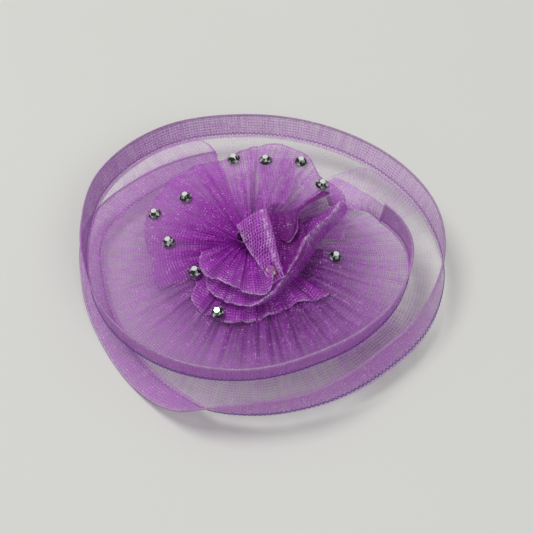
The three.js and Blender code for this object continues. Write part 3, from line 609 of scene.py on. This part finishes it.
def add_brim(web_material, hem_material):
    angle = np.arange(BRIM_OUTLINE[0][0], BRIM_OUTLINE[-1][0] + 0.01, STRIP_STEP)
    share = np.linspace(0, 1, WEB_POINTS)
    stitched, across, outer = hem_frame(angle)
    near, close = read_outline(BRIM_LAYERS, angle).T
    hem_length = spans(stitched[:, None], 0)[:, 0]

    web, reach = web_points(angle, share, stitched, near)
    layers = web_layers(angle, share, near, close)
    taken = share * reach * WEAVE_TAKEN
    weave = np.stack(np.broadcast_arrays(hem_length[:, None], taken[None]), -1)
    strip_web = cloth("brim_strip_web", web, weave, layers, 0 * layers, web_material,
                      "brim_organza", "brim_strip_lower_turn", "brim_strip_upper_turn")

    outward, upward = hem_section()
    pucker = ripple(angle, *PUCKERS) * np.interp(angle, *HEM_FLATNESS) * HEM_PUCKER
    bend = np.sin(math.pi * np.clip(upward / HEM_WIDTH, 0, 1))
    hem = (stitched[:, None] + upward[None, :, None] * across[:, None]
           + (outward[None] + pucker[:, None] * bend)[..., None] * outer[:, None])
    hem_weave = np.stack([np.broadcast_to(hem_length[:, None], hem.shape[:2]), spans(hem, 1)], -1)
    # painted highlight: a glint along the hem's folded top
    fold = np.exp(-((upward - HEM_WIDTH) / HEM_FOLD_BRIGHT) ** 2)
    fold_glint = np.interp(angle, *HEM_FOLD_GLINT)[:, None] * fold[None]
    hem_layers = np.interp(angle, *HEM_LAYERS) + HEM_CREASE_SHADE * ripple(angle, *HEM_CREASES)
    last = np.searchsorted(angle, HEM_END_ANGLE)
    strip_hem = cloth("brim_strip_hem", hem[:last], hem_weave[:last], hem_layers[:last, None],
                      fold_glint[:last], hem_material, "brim_organza")

    line = (stitched + HEM_WIDTH * across)[:last]
    tube("hem_nylon_filament", line, LINE_RADIUS, nylon_material(), "nylon_line", "hem_nylon_line")
    add_stitches(angle[:last], hem_length[:last])


STITCH_LENGTH = 1.5
STITCH_HALF_WIDTH = 0.42
STITCH_RADIUS = 0.15
STITCH_RISE = 0.35  # of the thread's middle, above the stitched edge
STITCH_CLEARANCE = 0.12  # from the cloth
# The four points of each stitch: across the edge, and in front of it.
STITCH_SWAY = np.array([0.0, 1.0, 0.0, -1.0])
STITCH_FRONT = np.array([1.0, 0.75, 1.0, 0.75])


def add_stitches(angle, hem_length):
    """Zigzag thread along the front of the hem's stitched edge."""
    at = np.arange(0, hem_length[-1], STITCH_LENGTH / len(STITCH_SWAY))
    stitched, across, outer = hem_frame(np.interp(at, hem_length, angle))
    phase = np.arange(len(at)) % len(STITCH_SWAY)
    sway = STITCH_SWAY[phase] * STITCH_HALF_WIDTH
    front = STITCH_FRONT[phase] * (HEM_HALF_GAP * 0.4 + STITCH_RADIUS + STITCH_CLEARANCE)
    path = stitched + (STITCH_RISE + sway)[:, None] * across + front[:, None] * outer
    tube("hem_zigzag_thread", path, STITCH_RADIUS, thread_material(), "thread", "hem_stitching",
         sides=5)


# ---- flower

FLOWER = (-2.0, 4.0)
# Frills: angle about the flower's centre, radius and height of the rim's ridge, and radius
# and height of the edge that is turned down past it.
OUTER_FRILL = [
    (6, 30.0, 15.6, 29.4, 15.2), (16, 33.5, 16.4, 33.0, 16.0), (26, 36.0, 17.0, 35.4, 16.6),
    (34, 37.0, 17.8, 36.4, 17.4), (44, 36.5, 19.2, 36.0, 18.8), (51, 36.4, 20.0, 35.9, 19.6),
    (61, 40.0, 20.6, 39.5, 20.3), (70, 42.0, 20.8, 41.6, 20.5), (80, 41.6, 20.6, 41.2, 20.3),
    (90, 39.9, 19.8, 39.4, 19.4), (104, 37.4, 18.9, 36.6, 18.4), (118, 39.0, 17.2, 38.0, 16.7),
    (136, 39.5, 15.5, 38.4, 15.0), (147, 38.6, 15.0, 37.4, 14.5), (157, 37.0, 15.0, 35.7, 14.4),
    (168, 35.4, 15.0, 34.0, 14.4), (177, 33.4, 15.0, 32.1, 14.4), (190, 31.5, 15.0, 30.3, 14.4),
    (198, 32.7, 15.0, 31.5, 14.4), (207, 32.8, 15.0, 31.6, 14.4), (210.2, 30.6, 15.0, 29.6, 14.4),
    (212, 23.4, 15.6, 22.9, 15.2), (217, 21.6, 15.8, 21.1, 15.4), (222, 22.6, 15.7, 22.1, 15.3),
    (226, 26.1, 15.2, 25.3, 14.8), (231, 27.9, 15.0, 26.9, 14.5), (239, 28.9, 15.0, 27.7, 14.4),
    (247, 29.1, 15.2, 27.8, 14.5), (258, 30.5, 15.4, 29.1, 14.7), (269, 29.3, 15.7, 27.9, 14.9),
    (279, 28.2, 15.9, 26.9, 15.1), (296, 27.1, 16.0, 25.9, 15.2), (308, 27.6, 15.9, 26.5, 15.1),
    (317, 30.2, 15.6, 29.1, 14.9), (325, 31.2, 15.4, 30.2, 14.8),
]
OUTER_RIM_LAYERS = [
    (6, 1.2), (26, 1.4), (34, 1.8), (50, 1.7), (62, 1.0), (75, 1.1), (96, 1.6), (112, 1.9),
    (140, 1.4), (176, 1.4), (206, 1.4), (212, 2.0), (240, 2.3), (290, 2.5), (325, 2.2),
]
MIDDLE_FRILL = [
    (224, 18.6, 18.4, 18.0, 17.9), (236, 23.0, 18.5, 22.2, 17.8), (249, 24.4, 18.8, 23.3, 18.0),
    (265, 25.8, 19.2, 24.6, 18.3), (276, 25.9, 20.4, 25.2, 18.5), (283, 24.6, 22.0, 24.6, 18.4),
    (291, 23.6, 22.6, 23.4, 18.2), (302, 20.9, 23.5, 21.2, 18.1), (316, 19.0, 24.5, 20.2, 18.0),
    (331, 18.0, 25.0, 19.9, 18.0), (347, 18.0, 25.2, 21.0, 18.2), (359, 20.0, 25.1, 22.4, 18.5),
    (366.5, 22.4, 25.0, 24.6, 18.8), (373, 25.8, 24.7, 28.0, 19.2), (379, 29.4, 24.2, 33.0, 19.7),
    (384, 32.0, 23.6, 35.0, 19.6),
]
MIDDLE_RIM_LAYERS = [(224, 1.8), (250, 2.0), (290, 2.2), (330, 2.6), (384, 2.4)]
INNER_FRILL = [
    (206, 16.6, 22.8, 16.0, 22.0), (213, 18.6, 22.3, 17.8, 21.6), (220, 20.0, 22.0, 19.1, 21.3),
    (228, 20.9, 22.0, 19.8, 21.2), (244, 20.2, 22.2, 19.2, 21.4), (255, 21.0, 22.3, 20.0, 21.5),
    (264, 22.3, 22.4, 21.3, 21.6), (274, 24.0, 22.5, 23.0, 21.7), (283, 24.0, 22.9, 23.1, 22.0),
    (289, 21.8, 23.6, 21.4, 22.4), (296, 17.0, 25.0, 17.4, 23.0),
]
INNER_RIM_LAYERS = [(206, 2.2), (230, 1.9), (260, 1.6), (285, 1.8), (296, 2.4)]
FRILL_STEP = 0.6  # degrees
FRILL_POINTS = 26  # from the gathers to the ridge
TURNED_POINTS = 8  # from the ridge to the turned-down edge
# Waves a turn; each kind's seed is one past the last one's.
RIM_WAVES, SMALL_WAVES, FRILL_PLEATS, FRILL_DRIFTS, FINE_GATHERS = (
    (8, 13, 19), (33, 51), (14, 25, 39), (9, 15), (61, 89, 113))
SMALL_WAVE_SHARE = 0.2
# Height of the pleats and of the gathers, and drift in degrees, from the gathers to the ridge.
FRILL_DEPTH = ((0, 0.12, 0.4, 0.75, 1), (0.1, 0.4, 1.0, 1.0, 0.45))
GATHER_DEPTH = ((0, 0.1, 0.35, 0.6, 0.8, 1), (0.2, 0.5, 0.4, 0.15, 0.03, 0))
FRILL_DRIFT = ((0, 0.25, 0.6, 1), (0, 3.5, 2.6, 0.4))
TURN_BULGE = 0.35  # mm that the rim's fold stands out
SEAT_REACH = 3.0  # mm round a stone where the frill lies flat
FRILL_FALL = 1.2
# Painted shade that the pleats and the fine gathers add to a frill's layers:
FRILL_PLEAT_SHADE, FINE_GATHER_SHADE = 0.3, 0.16
# Painted glint just inside the ridge:
RIDGE_BRIGHT = 0.5  # mm inside the ridge that are bright


def add_frill(name, outline, rim_table, start, bulge, cup, seed, looks, material, node):
    """A gathered frill whose rim is folded over. cup is how much later than its reach it rises;
    looks: layers at the gathers, pleat height, wave height and the strength of the painted rim glint."""
    foot_layers, pleat_height, wave_height, rim_glint = looks
    angle = np.arange(outline[0][0], outline[-1][0] + 0.01, FRILL_STEP)
    share = np.linspace(0, 1, FRILL_POINTS)
    turned = np.linspace(0, 1, TURNED_POINTS + 1)[1:]
    ridge_r, ridge_z, edge_r, edge_z = read_outline(outline, angle).T
    wave = ripple(angle, RIM_WAVES, seed) * wave_height
    small = ripple(angle, SMALL_WAVES, seed + 1) * SMALL_WAVE_SHARE
    pleat = ripple(angle, FRILL_PLEATS, seed + 2)
    drift = ripple(angle, FRILL_DRIFTS, seed + 3)
    fine = ripple(angle, FINE_GATHERS, seed + 4)

    smooth = (start[1] + (ridge_z[:, None] - start[1]) * share**cup
              + bulge * np.sin(math.pi * share))
    deep = np.interp(share, *FRILL_DEPTH) * pleat_height
    gathers = np.interp(share, *GATHER_DEPTH) * pleat_height
    pleated = (smooth + deep * pleat[:, None] + gathers * fine[:, None]
               + (wave + small)[:, None] * share**2)
    drop = (edge_z - ridge_z)[:, None] * turned
    turn_r = (ridge_r[:, None] + (edge_r - ridge_r)[:, None] * turned
              + TURN_BULGE * np.sin(math.pi * turned))
    radius = np.concatenate([start[0] + (ridge_r[:, None] - start[0]) * share, turn_r], 1)
    lean = np.interp(share, *FRILL_DRIFT) * drift[:, None]
    lean = np.concatenate([lean, np.repeat(lean[:, -1:], TURNED_POINTS, 1)], 1)
    points, flat = (radial(angle[:, None] + lean, radius, np.concatenate(heights, 1), FLOWER)
                    for heights in ([pleated, pleated[:, -1:] + drop],
                                    [smooth, ridge_z[:, None] + drop]))
    for foot, _, _ in SEATS:
        away = np.linalg.norm(place(points)[..., :2] - foot[:2], axis=-1)
        points += (flat - points) * np.exp(-((away / (SEAT_REACH * MM)) ** 2))[..., None]

    far = np.concatenate([share, 1 - 0.1 * turned])
    rim_layers = read_outline(rim_table, angle)
    layers = rim_layers + (foot_layers - rim_layers) * (1 - far) ** FRILL_FALL
    # painted shade that follows the pleats and the fine gathers
    layers = layers * (1 + FRILL_PLEAT_SHADE * np.clip(pleat, -1, 1)
                       + FINE_GATHER_SHADE * np.clip(fine, -1, 1))[:, None]
    # painted highlight: a glint just inside the ridge and on the turned-down edge
    inside = (1 - share) * (ridge_r.mean() - start[0])
    edge = np.concatenate([np.exp(-(inside / RIDGE_BRIGHT) ** 2),
                           np.exp(-(turned * 3.0) ** 2)]) * rim_glint
    rim = spans(points, 0)[:, FRILL_POINTS - 1]
    weave = np.stack([np.broadcast_to(rim[:, None], radius.shape), spans(points, 1)], -1)
    piece = cloth(name, points, weave, layers, edge[None], material, "flower_organza", node)


FOLD_PLEATS = (7, 13, 21)
HEM_TURN = 0.9  # mm at a fold's ends that a hem thickens
# Painted shade that a fold's pleats add to its layers:
FOLD_PLEAT_SHADE = 0.25
VEIL_REACH = 3.4  # mm
VEIL_THINNING = 0.75


def draped(name, guides, counts, layers, edge, material, *nodes, pleat, seed, hem=(0.0, 0.0),
           slot="flower_organza", rests_on="flower_frill_inner_cloth", veil=None):
    """A sheet that passes through guide lines, given as lists of millimetre points. layers and
    edge are read from the first guide to the last, edge being the strength of a painted glint, hem
    thickens the lines' two ends, and the cloth is thinnest round the point veil. The pleats add painted
    shade to the layers."""
    along = np.linspace(0, 1, counts[0])
    across = np.linspace(0, 1, counts[1])
    lines = np.stack([through(guide, along) for guide in guides], 1)
    points = np.stack([through(line, across) for line in lines])
    normal = np.cross(np.gradient(points, axis=0), np.gradient(points, axis=1))
    normal /= np.linalg.norm(normal, axis=-1)[..., None] + 1e-9
    bumps = ripple(along * 360, FOLD_PLEATS, seed)[:, None] * np.sin(math.pi * across)[None]
    points += normal * (pleat * bumps)[..., None]
    weave = np.stack([spans(points, 0)[:, -1:] + 0 * across[None], spans(points, 1)], -1)
    run = spans(points, 0).mean(1)
    turned = (hem[0] * np.exp(-(run / HEM_TURN) ** 4)
              + hem[1] * np.exp(-((run[-1] - run) / HEM_TURN) ** 4))
    shade = np.interp(across, np.linspace(0, 1, len(layers)), layers)[None]
    # painted shade that follows the pleats' bumps
    shade = shade + turned[:, None] + FOLD_PLEAT_SHADE * bumps * shade
    if veil:
        away = np.linalg.norm(points - veil, axis=-1)
        shade = shade * (1 - VEIL_THINNING * np.exp(-(away / VEIL_REACH) ** 4))
    # painted glint along the cloth, read from the edge table
    bright = np.interp(across, np.linspace(0, 1, len(edge)), edge)[None]
    piece = cloth(name, points, weave, shade, bright, material, slot, *nodes)


HEART_GLINTS = (0, 0, 0, 0, 0, 0, 0, 0, 0, 0.5, 0.9, 0.2, 0, 0, 0, 0, 0, 0, 0, 0.3, 0.9)
HEART_FOLD = [
    [(0.5, 6, 25), (2.4, 0, 24.8), (4.4, -6, 24.6), (6.4, -12, 24.6)],
    [(2.6, 7.4, 29), (4.4, 0.8, 27.4), (5.6, -5.2, 26), (8.0, -13.0, 23.6)],
    [(3.4, 7.6, 31), (5.5, 0.3, 29), (6.6, -5.2, 27), (9.0, -13.8, 23.4)],
    [(-1.6, 5.6, 30.2), (1.4, -2.0, 28.2), (3.7, -7.6, 26), (7.0, -14.8, 23.1)],
    [(-6.0, 2.6, 28.6), (-2.6, -4.8, 26.6), (1.2, -10.2, 24.6), (5.3, -16.2, 22.8)],
]
# The pleat at the right of the hollow, from its rim to its foot.
HOLLOW_PLEAT = [
    [(8, 0.2, 25), (10.5, -0.8, 24.2), (13.3, 3.2, 26), (13.4, 7, 26.4), (15, 11, 26.2), (20, 16, 25),
     (24, 20, 23)],
    [(7.5, 1.6, 22), (9.6, 1.4, 22), (12, 5, 23), (12.4, 8.6, 23.4), (14, 13, 23), (19, 18, 22.4),
     (24, 23, 21)],
    [(6, 3, 19.5), (8, 4, 19.5), (10, 6, 20), (11, 10, 20), (12, 14, 20), (16, 19, 20), (22, 25, 19.6)],
]
# A dark sheet laid in the hollow right of the heart: painted shade, standing in for the hollow's
# shadow.
HOLLOW_SHADE_SHEET = [
    [(3.6, 10.0, 25.0), (8.4, 12.0, 24.2), (13.0, 12.4, 24.8)],
    [(4.4, 5.0, 24.6), (9.4, 5.4, 23.0), (15.0, 6.0, 24.4)],
    [(5.4, -2.0, 24.4), (11.0, -1.0, 22.8), (16.2, 0.0, 24.6)],
    [(6.6, -8.0, 24.2), (11.0, -7.4, 23.0), (15.0, -6.6, 24.6)],
    [(7.8, -13.4, 23.8), (9.6, -13.0, 23.6), (11.8, -12.6, 24.2)],
]
# A fold of the top petals that stands from the heart to the rim.
TOP_PLEAT = [
    [(2.6, 12, 24.8), (2.2, 18, 23.8), (1.2, 26, 22.6), (0.4, 33, 21.8), (0.0, 38, 21.0)],
    [(5.6, 13.5, 26.2), (6.0, 19, 25.0), (6.2, 26, 23.6), (6.4, 33, 22.2), (6.6, 38, 21.2)],
    [(9.4, 14.6, 25.0), (11.0, 19, 24.0), (12.4, 25, 22.8), (13.0, 32, 21.8), (13.6, 38, 21.0)],
]
# The strip's last end, folded under the flower.
END_FOLD = [
    [(42.6, 18.9, 18.2), (38.9, 23.6, 17.6), (35.8, 27, 16.8), (30.4, 32, 16), (26.4, 34.4, 15.8)],
    [(42.0, 18.6, 14.8), (37.8, 22.2, 15.2), (33.5, 25, 15.6), (28, 28.5, 15.8), (23, 30.5, 16.0)],
    [(41.3, 18.3, 11.3), (37.2, 21.2, 12.6), (33.5, 21.3, 13.8), (29.4, 20.6, 14.8), (24, 22, 15.4)],
]
# A tuck of the lower turn's cloth beside it, and the strip's first end, folded back.
RIGHT_TUCK = [
    [(25.4, 36.4, 14), (30.6, 41.6, 10.6), (36.8, 44.4, 9.7), (44.0, 39.8, 9.4), (50.3, 32.0, 9.2),
     (54.6, 25.8, 9.1)],
    [(24.5, 33, 15), (30, 37, 12.4), (36, 38.6, 11.2), (42, 35, 10.8), (47.6, 28.6, 10.6),
     (52, 22.6, 10.2)],
    [(24, 30, 15.6), (29, 32, 14), (34.5, 32, 13), (39.5, 29, 12.6), (44, 24, 12.2), (48, 19.4, 11.6)],
]
START_FOLD = [
    [(-46.4, 40.5, 8.8), (-37.6, 51.6, 9.0), (-29.9, 56.2, 9.0), (-23.5, 58.4, 9.0),
     (-18.8, 57.6, 9.2)],
    [(-46.0, 38.4, 8.8), (-37.2, 47.4, 9.2), (-29.0, 51.6, 9.6), (-21.8, 54.2, 9.8),
     (-15.9, 54.4, 9.8)],
    [(-45.6, 36.6, 8.6), (-36.6, 42.8, 9.0), (-28.2, 47, 9.6), (-19.7, 49.8, 10.4),
     (-13.2, 48.6, 10.8)],
]
BUD_TURNS = 1.35
BUD_FOOT = 0.5  # of its mouth's radius
BUD_FLARE = 0.8  # how early it widens
BUD_WINDING = 0.28  # of its radius
BUD_SLANT = 0.12  # of its height
BUD_LAYERS = (5.0, 3.0)  # at its foot and its mouth
# Painted glint along the bud's mouth:
MOUTH_BRIGHT = 0.5  # mm below the mouth that are bright


def add_bud(material):
    """A strip rolled into a cone, its mouth open to the top."""
    low, high = box_of("flower_bud_cone")
    centre, height = (low + high) / 2, high[2] - low[2]
    mouth = (high[0] - low[0]) / 2
    turn = np.linspace(0, 360 * BUD_TURNS, 70)
    up = np.linspace(0, 1, 14)
    wound = (turn / turn[-1])[:, None]
    radius = (BUD_FOOT + (1 - BUD_FOOT) * up**BUD_FLARE)[None] * mouth * (1 - BUD_WINDING * wound)
    rise = up[None] * height * (1 - BUD_SLANT * wound)
    points = radial(turn[:, None] + 0 * up, radius, rise) + [centre[0], centre[1], low[2]]
    weave = np.stack([spans(points, 0)[:, -1:] + 0 * up[None], spans(points, 1)], -1)
    layers = np.interp(up, [0, 1], BUD_LAYERS)[None]
    # painted highlight: a glint along the mouth
    edge = np.exp(-(((1 - up) * height) / MOUTH_BRIGHT) ** 2)[None]
    piece = cloth("flower_bud_roll", points, weave, layers, edge, material, "flower_organza",
                  "flower_bud_cone")


# ---- rhinestones

STONES = range(1, 12)
VEILED_STONE = 11  # yellowish, under the heart's fold
STONE_RADIUS = 2.2
STONE_GIRDLE = 0.3
STONE_BACK = 0.86  # of its radius, as the next two are
STONE_CROWN = (0.78, 0.55)  # and of the height
STONE_TABLE = 0.42
STONE_SIDES = 10
# Painted reflections: each facet's fixed tone, from dark to bright, and the table's painted glint.
STONE_FACET_REFLECTIONS = (0.75, 0.15, 0.05, 0.5, 0.3, 0.08, 0.62, 0.2, 0.4, 0.04)
TABLE_GLINT = 0.9
STONE_SEED = 40
MOST_SPIN = 0.6  # radians


def stone_seats():
    """Foot, upward axis and height of each rhinestone, in the frame's metres."""
    seats = []
    for number in STONES:
        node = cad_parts[f"rhinestone_{number}"]
        points = np.array([v.co for v in node.data.vertices])
        middle = (points.min(0) + points.max(0)) / 2
        axis = np.linalg.svd(points - points.mean(0), full_matrices=False)[2][2]
        axis = axis * np.sign(axis[2])
        along = (points - middle) @ axis
        seats.append((middle + axis * along.min(), axis, along.max() - along.min()))
    return seats


def add_stone(number, material):
    """A flat-backed brilliant: girdle, two rows of crown facets and a table."""
    foot, axis, height = SEATS[number - 1]
    wide = STONE_RADIUS * MM
    rings = [(STONE_BACK, 0.0, 0.0), (1.0, 0.0, 0.0), (1.0, STONE_GIRDLE * MM, 0.0),
             (STONE_CROWN[0], STONE_CROWN[1] * height, 0.5), (STONE_TABLE, height, 0.0)]
    shape = bmesh.new()
    made = []
    for scale, level, twist in rings:
        turns = [2 * math.pi * (k + twist) / STONE_SIDES for k in range(STONE_SIDES)]
        reach = wide * scale
        made.append([shape.verts.new((reach * math.cos(t), reach * math.sin(t), level))
                     for t in turns])
    for a, b in ((made[0], made[1]), (made[1], made[2])):
        for k in range(STONE_SIDES):
            shape.faces.new((a[k], a[k - 1], b[k - 1], b[k])[::-1])
    girdle, crown, table = made[2:]
    for k in range(STONE_SIDES):
        after = (k + 1) % STONE_SIDES
        shape.faces.new((girdle[k], girdle[after], crown[k]))
        shape.faces.new((crown[k - 1], girdle[k], crown[k]))
        shape.faces.new((crown[k], table[after], table[k]))
        shape.faces.new((crown[k - 1], crown[k], table[k]))
    shape.faces.new(table)
    shape.faces.new(made[0][::-1])
    bmesh.ops.recalc_face_normals(shape, faces=shape.faces)
    turn = Vector((0, 0, 1)).rotation_difference(Vector(axis)).to_matrix().to_4x4()
    random = np.random.default_rng(STONE_SEED + number)
    spin = Matrix.Rotation(random.uniform(0, MOST_SPIN), 4, "Z")
    shape.transform(Matrix.Translation(Vector(foot)) @ turn @ spin)
    mesh = bpy.data.meshes.new(f"stone_{number}")
    shape.to_mesh(mesh)
    shape.free()
    # painted reflections on the facets, and a painted glint on the table
    facet_reflections = [STONE_FACET_REFLECTIONS[(i * 3 + number) % len(STONE_FACET_REFLECTIONS)] for i in range(len(mesh.polygons))]
    facet_reflections[-2] = TABLE_GLINT
    held = mesh.attributes.new("facet", "FLOAT", "FACE")
    held.data.foreach_set("value", np.array(facet_reflections, np.float32))
    piece = new_piece(f"faceted_stone_{number}", mesh, material)
    finished(piece, "rhinestone", f"rhinestone_{number}")


# ---- base and hardware


def weld(piece):
    """Joins the disc's seam and closes its two middles."""
    shape = bmesh.new()
    shape.from_mesh(piece.data)
    bmesh.ops.remove_doubles(shape, verts=shape.verts, dist=0.002 * MM)
    bmesh.ops.holes_fill(shape, edges=[edge for edge in shape.edges if edge.is_boundary])
    bmesh.ops.recalc_face_normals(shape, faces=shape.faces)
    shape.to_mesh(piece.data)
    shape.free()


DISC_TRIM = 0.12  # mm that a disc's rim stays inside the CAD disc's
DISC_WAVES = ((9, 23, 41), 60)
DISC_POINTS = 9  # across its face, and round its rim


def add_disc(name, node, edge_round, wobble, material, slot):
    """A cut disc of felt or buckram, its rim rounded and not quite true."""
    low, high = box_of(node)
    radius, height = (high[0] - low[0]) / 2, high[2] - low[2]
    turn = np.linspace(0, 360, 121)
    trim = radius - DISC_TRIM + wobble * ripple(turn, *DISC_WAVES)
    trim[-1] = trim[0]
    corner = np.radians(np.linspace(-90, 90, DISC_POINTS))
    inset = edge_round * (1 - np.cos(corner))
    level = low[2] + height / 2 + height / 2 * np.sin(corner)
    inner = trim[:, None] * np.linspace(0.02, 0.93, DISC_POINTS)
    radii = np.concatenate([inner, trim[:, None] - inset, inner[:, ::-1]], 1)
    levels = np.concatenate([np.full(DISC_POINTS, low[2]), level, np.full(DISC_POINTS, high[2])])
    points = radial(turn[:, None] + 0 * radii, radii, levels[None] + 0 * radii)
    points += (low + high) / 2 * [1, 1, 0]
    piece = cloth(name, points, points[..., :2], 1.0, 0.0, material, slot, node)
    weld(piece)


SPRING_TURNS = 2.5
SPRING_RADIUS = 1.4  # middle of its wire
SPRING_WIRE = 0.25
SPRING_START = 90  # degrees
LOWER_LEG = 5  # along the lever, from the pivot


def add_spring(material):
    """The clip's torsion spring: a coil round the hinge pin, its lower leg laid along the lever."""
    pivot = sum(box_of("clip_hinge_pin")) / 2
    low, high = box_of("clip_spring")
    near, far = low[1] + SPRING_WIRE, high[1] - SPRING_WIRE
    turn = np.linspace(SPRING_START, SPRING_START + 360 * SPRING_TURNS, 91)
    coil = np.stack([pivot[0] + SPRING_RADIUS * np.cos(np.radians(turn)),
                     near + (far - near) * np.linspace(0, 1, len(turn)),
                     pivot[2] + SPRING_RADIUS * np.sin(np.radians(turn))], 1)
    upper_tip = np.array([high[0] - SPRING_WIRE, near, coil[0][2] - SPRING_WIRE])
    lower_tip = np.array([pivot[0] + LOWER_LEG, far, low[2] + SPRING_WIRE])
    shares = np.linspace(0, 1, 25)[1:, None]
    upper = coil[0] + (upper_tip - coil[0]) * shares
    lower = coil[-1] + (lower_tip - coil[-1]) * shares
    wire = np.concatenate([upper[::-1], coil, lower])
    spring = tube("clip_torsion_spring", wire, SPRING_WIRE, material, "spring_wire", "clip_spring",
                  body=None)
    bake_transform(spring)


def finish_metal():
    nickel = metal_material("nickel_plate", colour(214, 212, 206), colour(182, 178, 170), 18.0, 0.2)
    steel = metal_material("spring_steel", colour(188, 190, 192), colour(146, 146, 148), 26.0, 0.26)
    add_spring(steel)
    for name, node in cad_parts.items():
        if name.startswith(("clip_", "brooch_")):
            node.data.materials.clear()
            node.data.materials.append(steel if name == "brooch_needle" else nickel)


FLOOR_SIZE = 40.0  # metres, so that no edge of it shows


def add_floor():
    bpy.ops.mesh.primitive_grid_add(x_subdivisions=8, y_subdivisions=8, size=FLOOR_SIZE)
    floor = bpy.context.object
    floor.name = "floor"
    floor.data.materials.append(floor_material())


# ---- put together

add_camera()
add_lights()
add_floor()
SEATS = stone_seats()

WEB = organza("brim_web_organza", colour(184, 104, 202), colour(118, 0, 134),
              0.30, 0.5, 0.8, 0.4, 0.45)
HEM = organza("brim_hem_organza", colour(192, 122, 206), colour(144, 52, 166),
              0.41, 0.5, 1.2, 0.5, 0.2)
PETAL = organza("flower_organza", colour(168, 76, 186), colour(150, 0, 168),
                0.38, 0.52, 0.75, 0.4, 0.4)
HEART = organza("heart_organza", colour(190, 76, 208), colour(140, 0, 156),
                0.30, 0.8, 1.0, 0.6, 0.3)
# Painted shade: a darker organza for the hollow beside the heart, its pleat and the bud, standing in
# for the shade they lie in.
HOLLOW_SHADE = organza("hollow_shade_organza", colour(128, 14, 140), colour(106, 0, 116),
                 0.5, 0.3, 0.5, 0.1, 0.2)

add_brim(WEB, HEM)
for frill, *shape_and_looks in (
        ("outer", OUTER_FRILL, OUTER_RIM_LAYERS, (1.0, 16.4), 1.3, 1.25, 70, (5.6, 1.2, 1.1, 0.7)),
        ("middle", MIDDLE_FRILL, MIDDLE_RIM_LAYERS, (1.6, 18.4), 0.2, 4.0, 80, (6.0, 0.8, 0.5, 0.8)),
        ("inner", INNER_FRILL, INNER_RIM_LAYERS, (1.6, 21.2), 0.6, 1.1, 90, (5.6, 0.9, 0.6, 0.9))):
    add_frill(f"flower_frill_{frill}_cloth", *shape_and_looks, PETAL, f"flower_frill_{frill}")
draped("flower_heart_fold_cloth", HEART_FOLD, (60, 30), (3.2, 2.0, 1.3, 1.2, 1.2),
       HEART_GLINTS, HEART, "flower_heart_fold", pleat=0.15, seed=15, veil=(4.6, -11.8, 23.6))
draped("flower_hollow_pleat", HOLLOW_PLEAT, (60, 18), (2.2, 3.6, 5.0), (0.9, 0, 0, 0, 0, 0), HOLLOW_SHADE,
       pleat=0.25, seed=16)
# a dark sheet of painted shade in the hollow
draped("flower_hollow_shade_sheet", HOLLOW_SHADE_SHEET, (40, 20), (3.0, 5.0, 5.0, 3.0), (0, 0), HOLLOW_SHADE,
       pleat=0.25, seed=22)
draped("flower_top_pleat", TOP_PLEAT, (50, 24), (1.6, 1.5, 2.0), (0.2, 0, 0, 0.25, 0, 0, 0.2), PETAL,
       pleat=0.2, seed=17, rests_on="flower_frill_outer_cloth")
OF_BRIM = {"slot": "brim_organza", "rests_on": "brim_strip_web"}
draped("brim_end_fold", END_FOLD, (60, 24), (1.9, 1.3, 1.5, 3.2), (0.3, 0, 0, 0.1), HEM,
       pleat=0.15, seed=18, **OF_BRIM)
draped("brim_right_tuck", RIGHT_TUCK, (90, 24), (1.5, 0.35, 0.4, 0.45, 0.5, 0.6),
       (0.1, 0, 0, 0, 0, 0), WEB, pleat=0.2, seed=19, **OF_BRIM)
draped("brim_start_fold", START_FOLD, (70, 20), (0.9, 0.45, 0.45, 0.5, 0.8),
       (0.1, 0, 0, 0, 0.1), WEB, pleat=0.1, seed=20, hem=(0.0, 1.8), **OF_BRIM)
# The bud takes the hollow's painted-shade organza.
add_bud(HOLLOW_SHADE)
clear_glass = stone_material("foiled_glass", colour(9, 12, 11), colour(236, 240, 238))
amber_glass = stone_material("amber_glass", colour(150, 112, 74), colour(236, 208, 168))
for stone_number in STONES:
    add_stone(stone_number, amber_glass if stone_number == VEILED_STONE else clear_glass)
add_disc("felt_disc", "felt_backing", 0.5, 0.1, felt_material(), "felt")
add_disc("buckram_disc", "buckram_stiffener", 0.25, 0.05, buckram_material(), "buckram")
finish_metal()
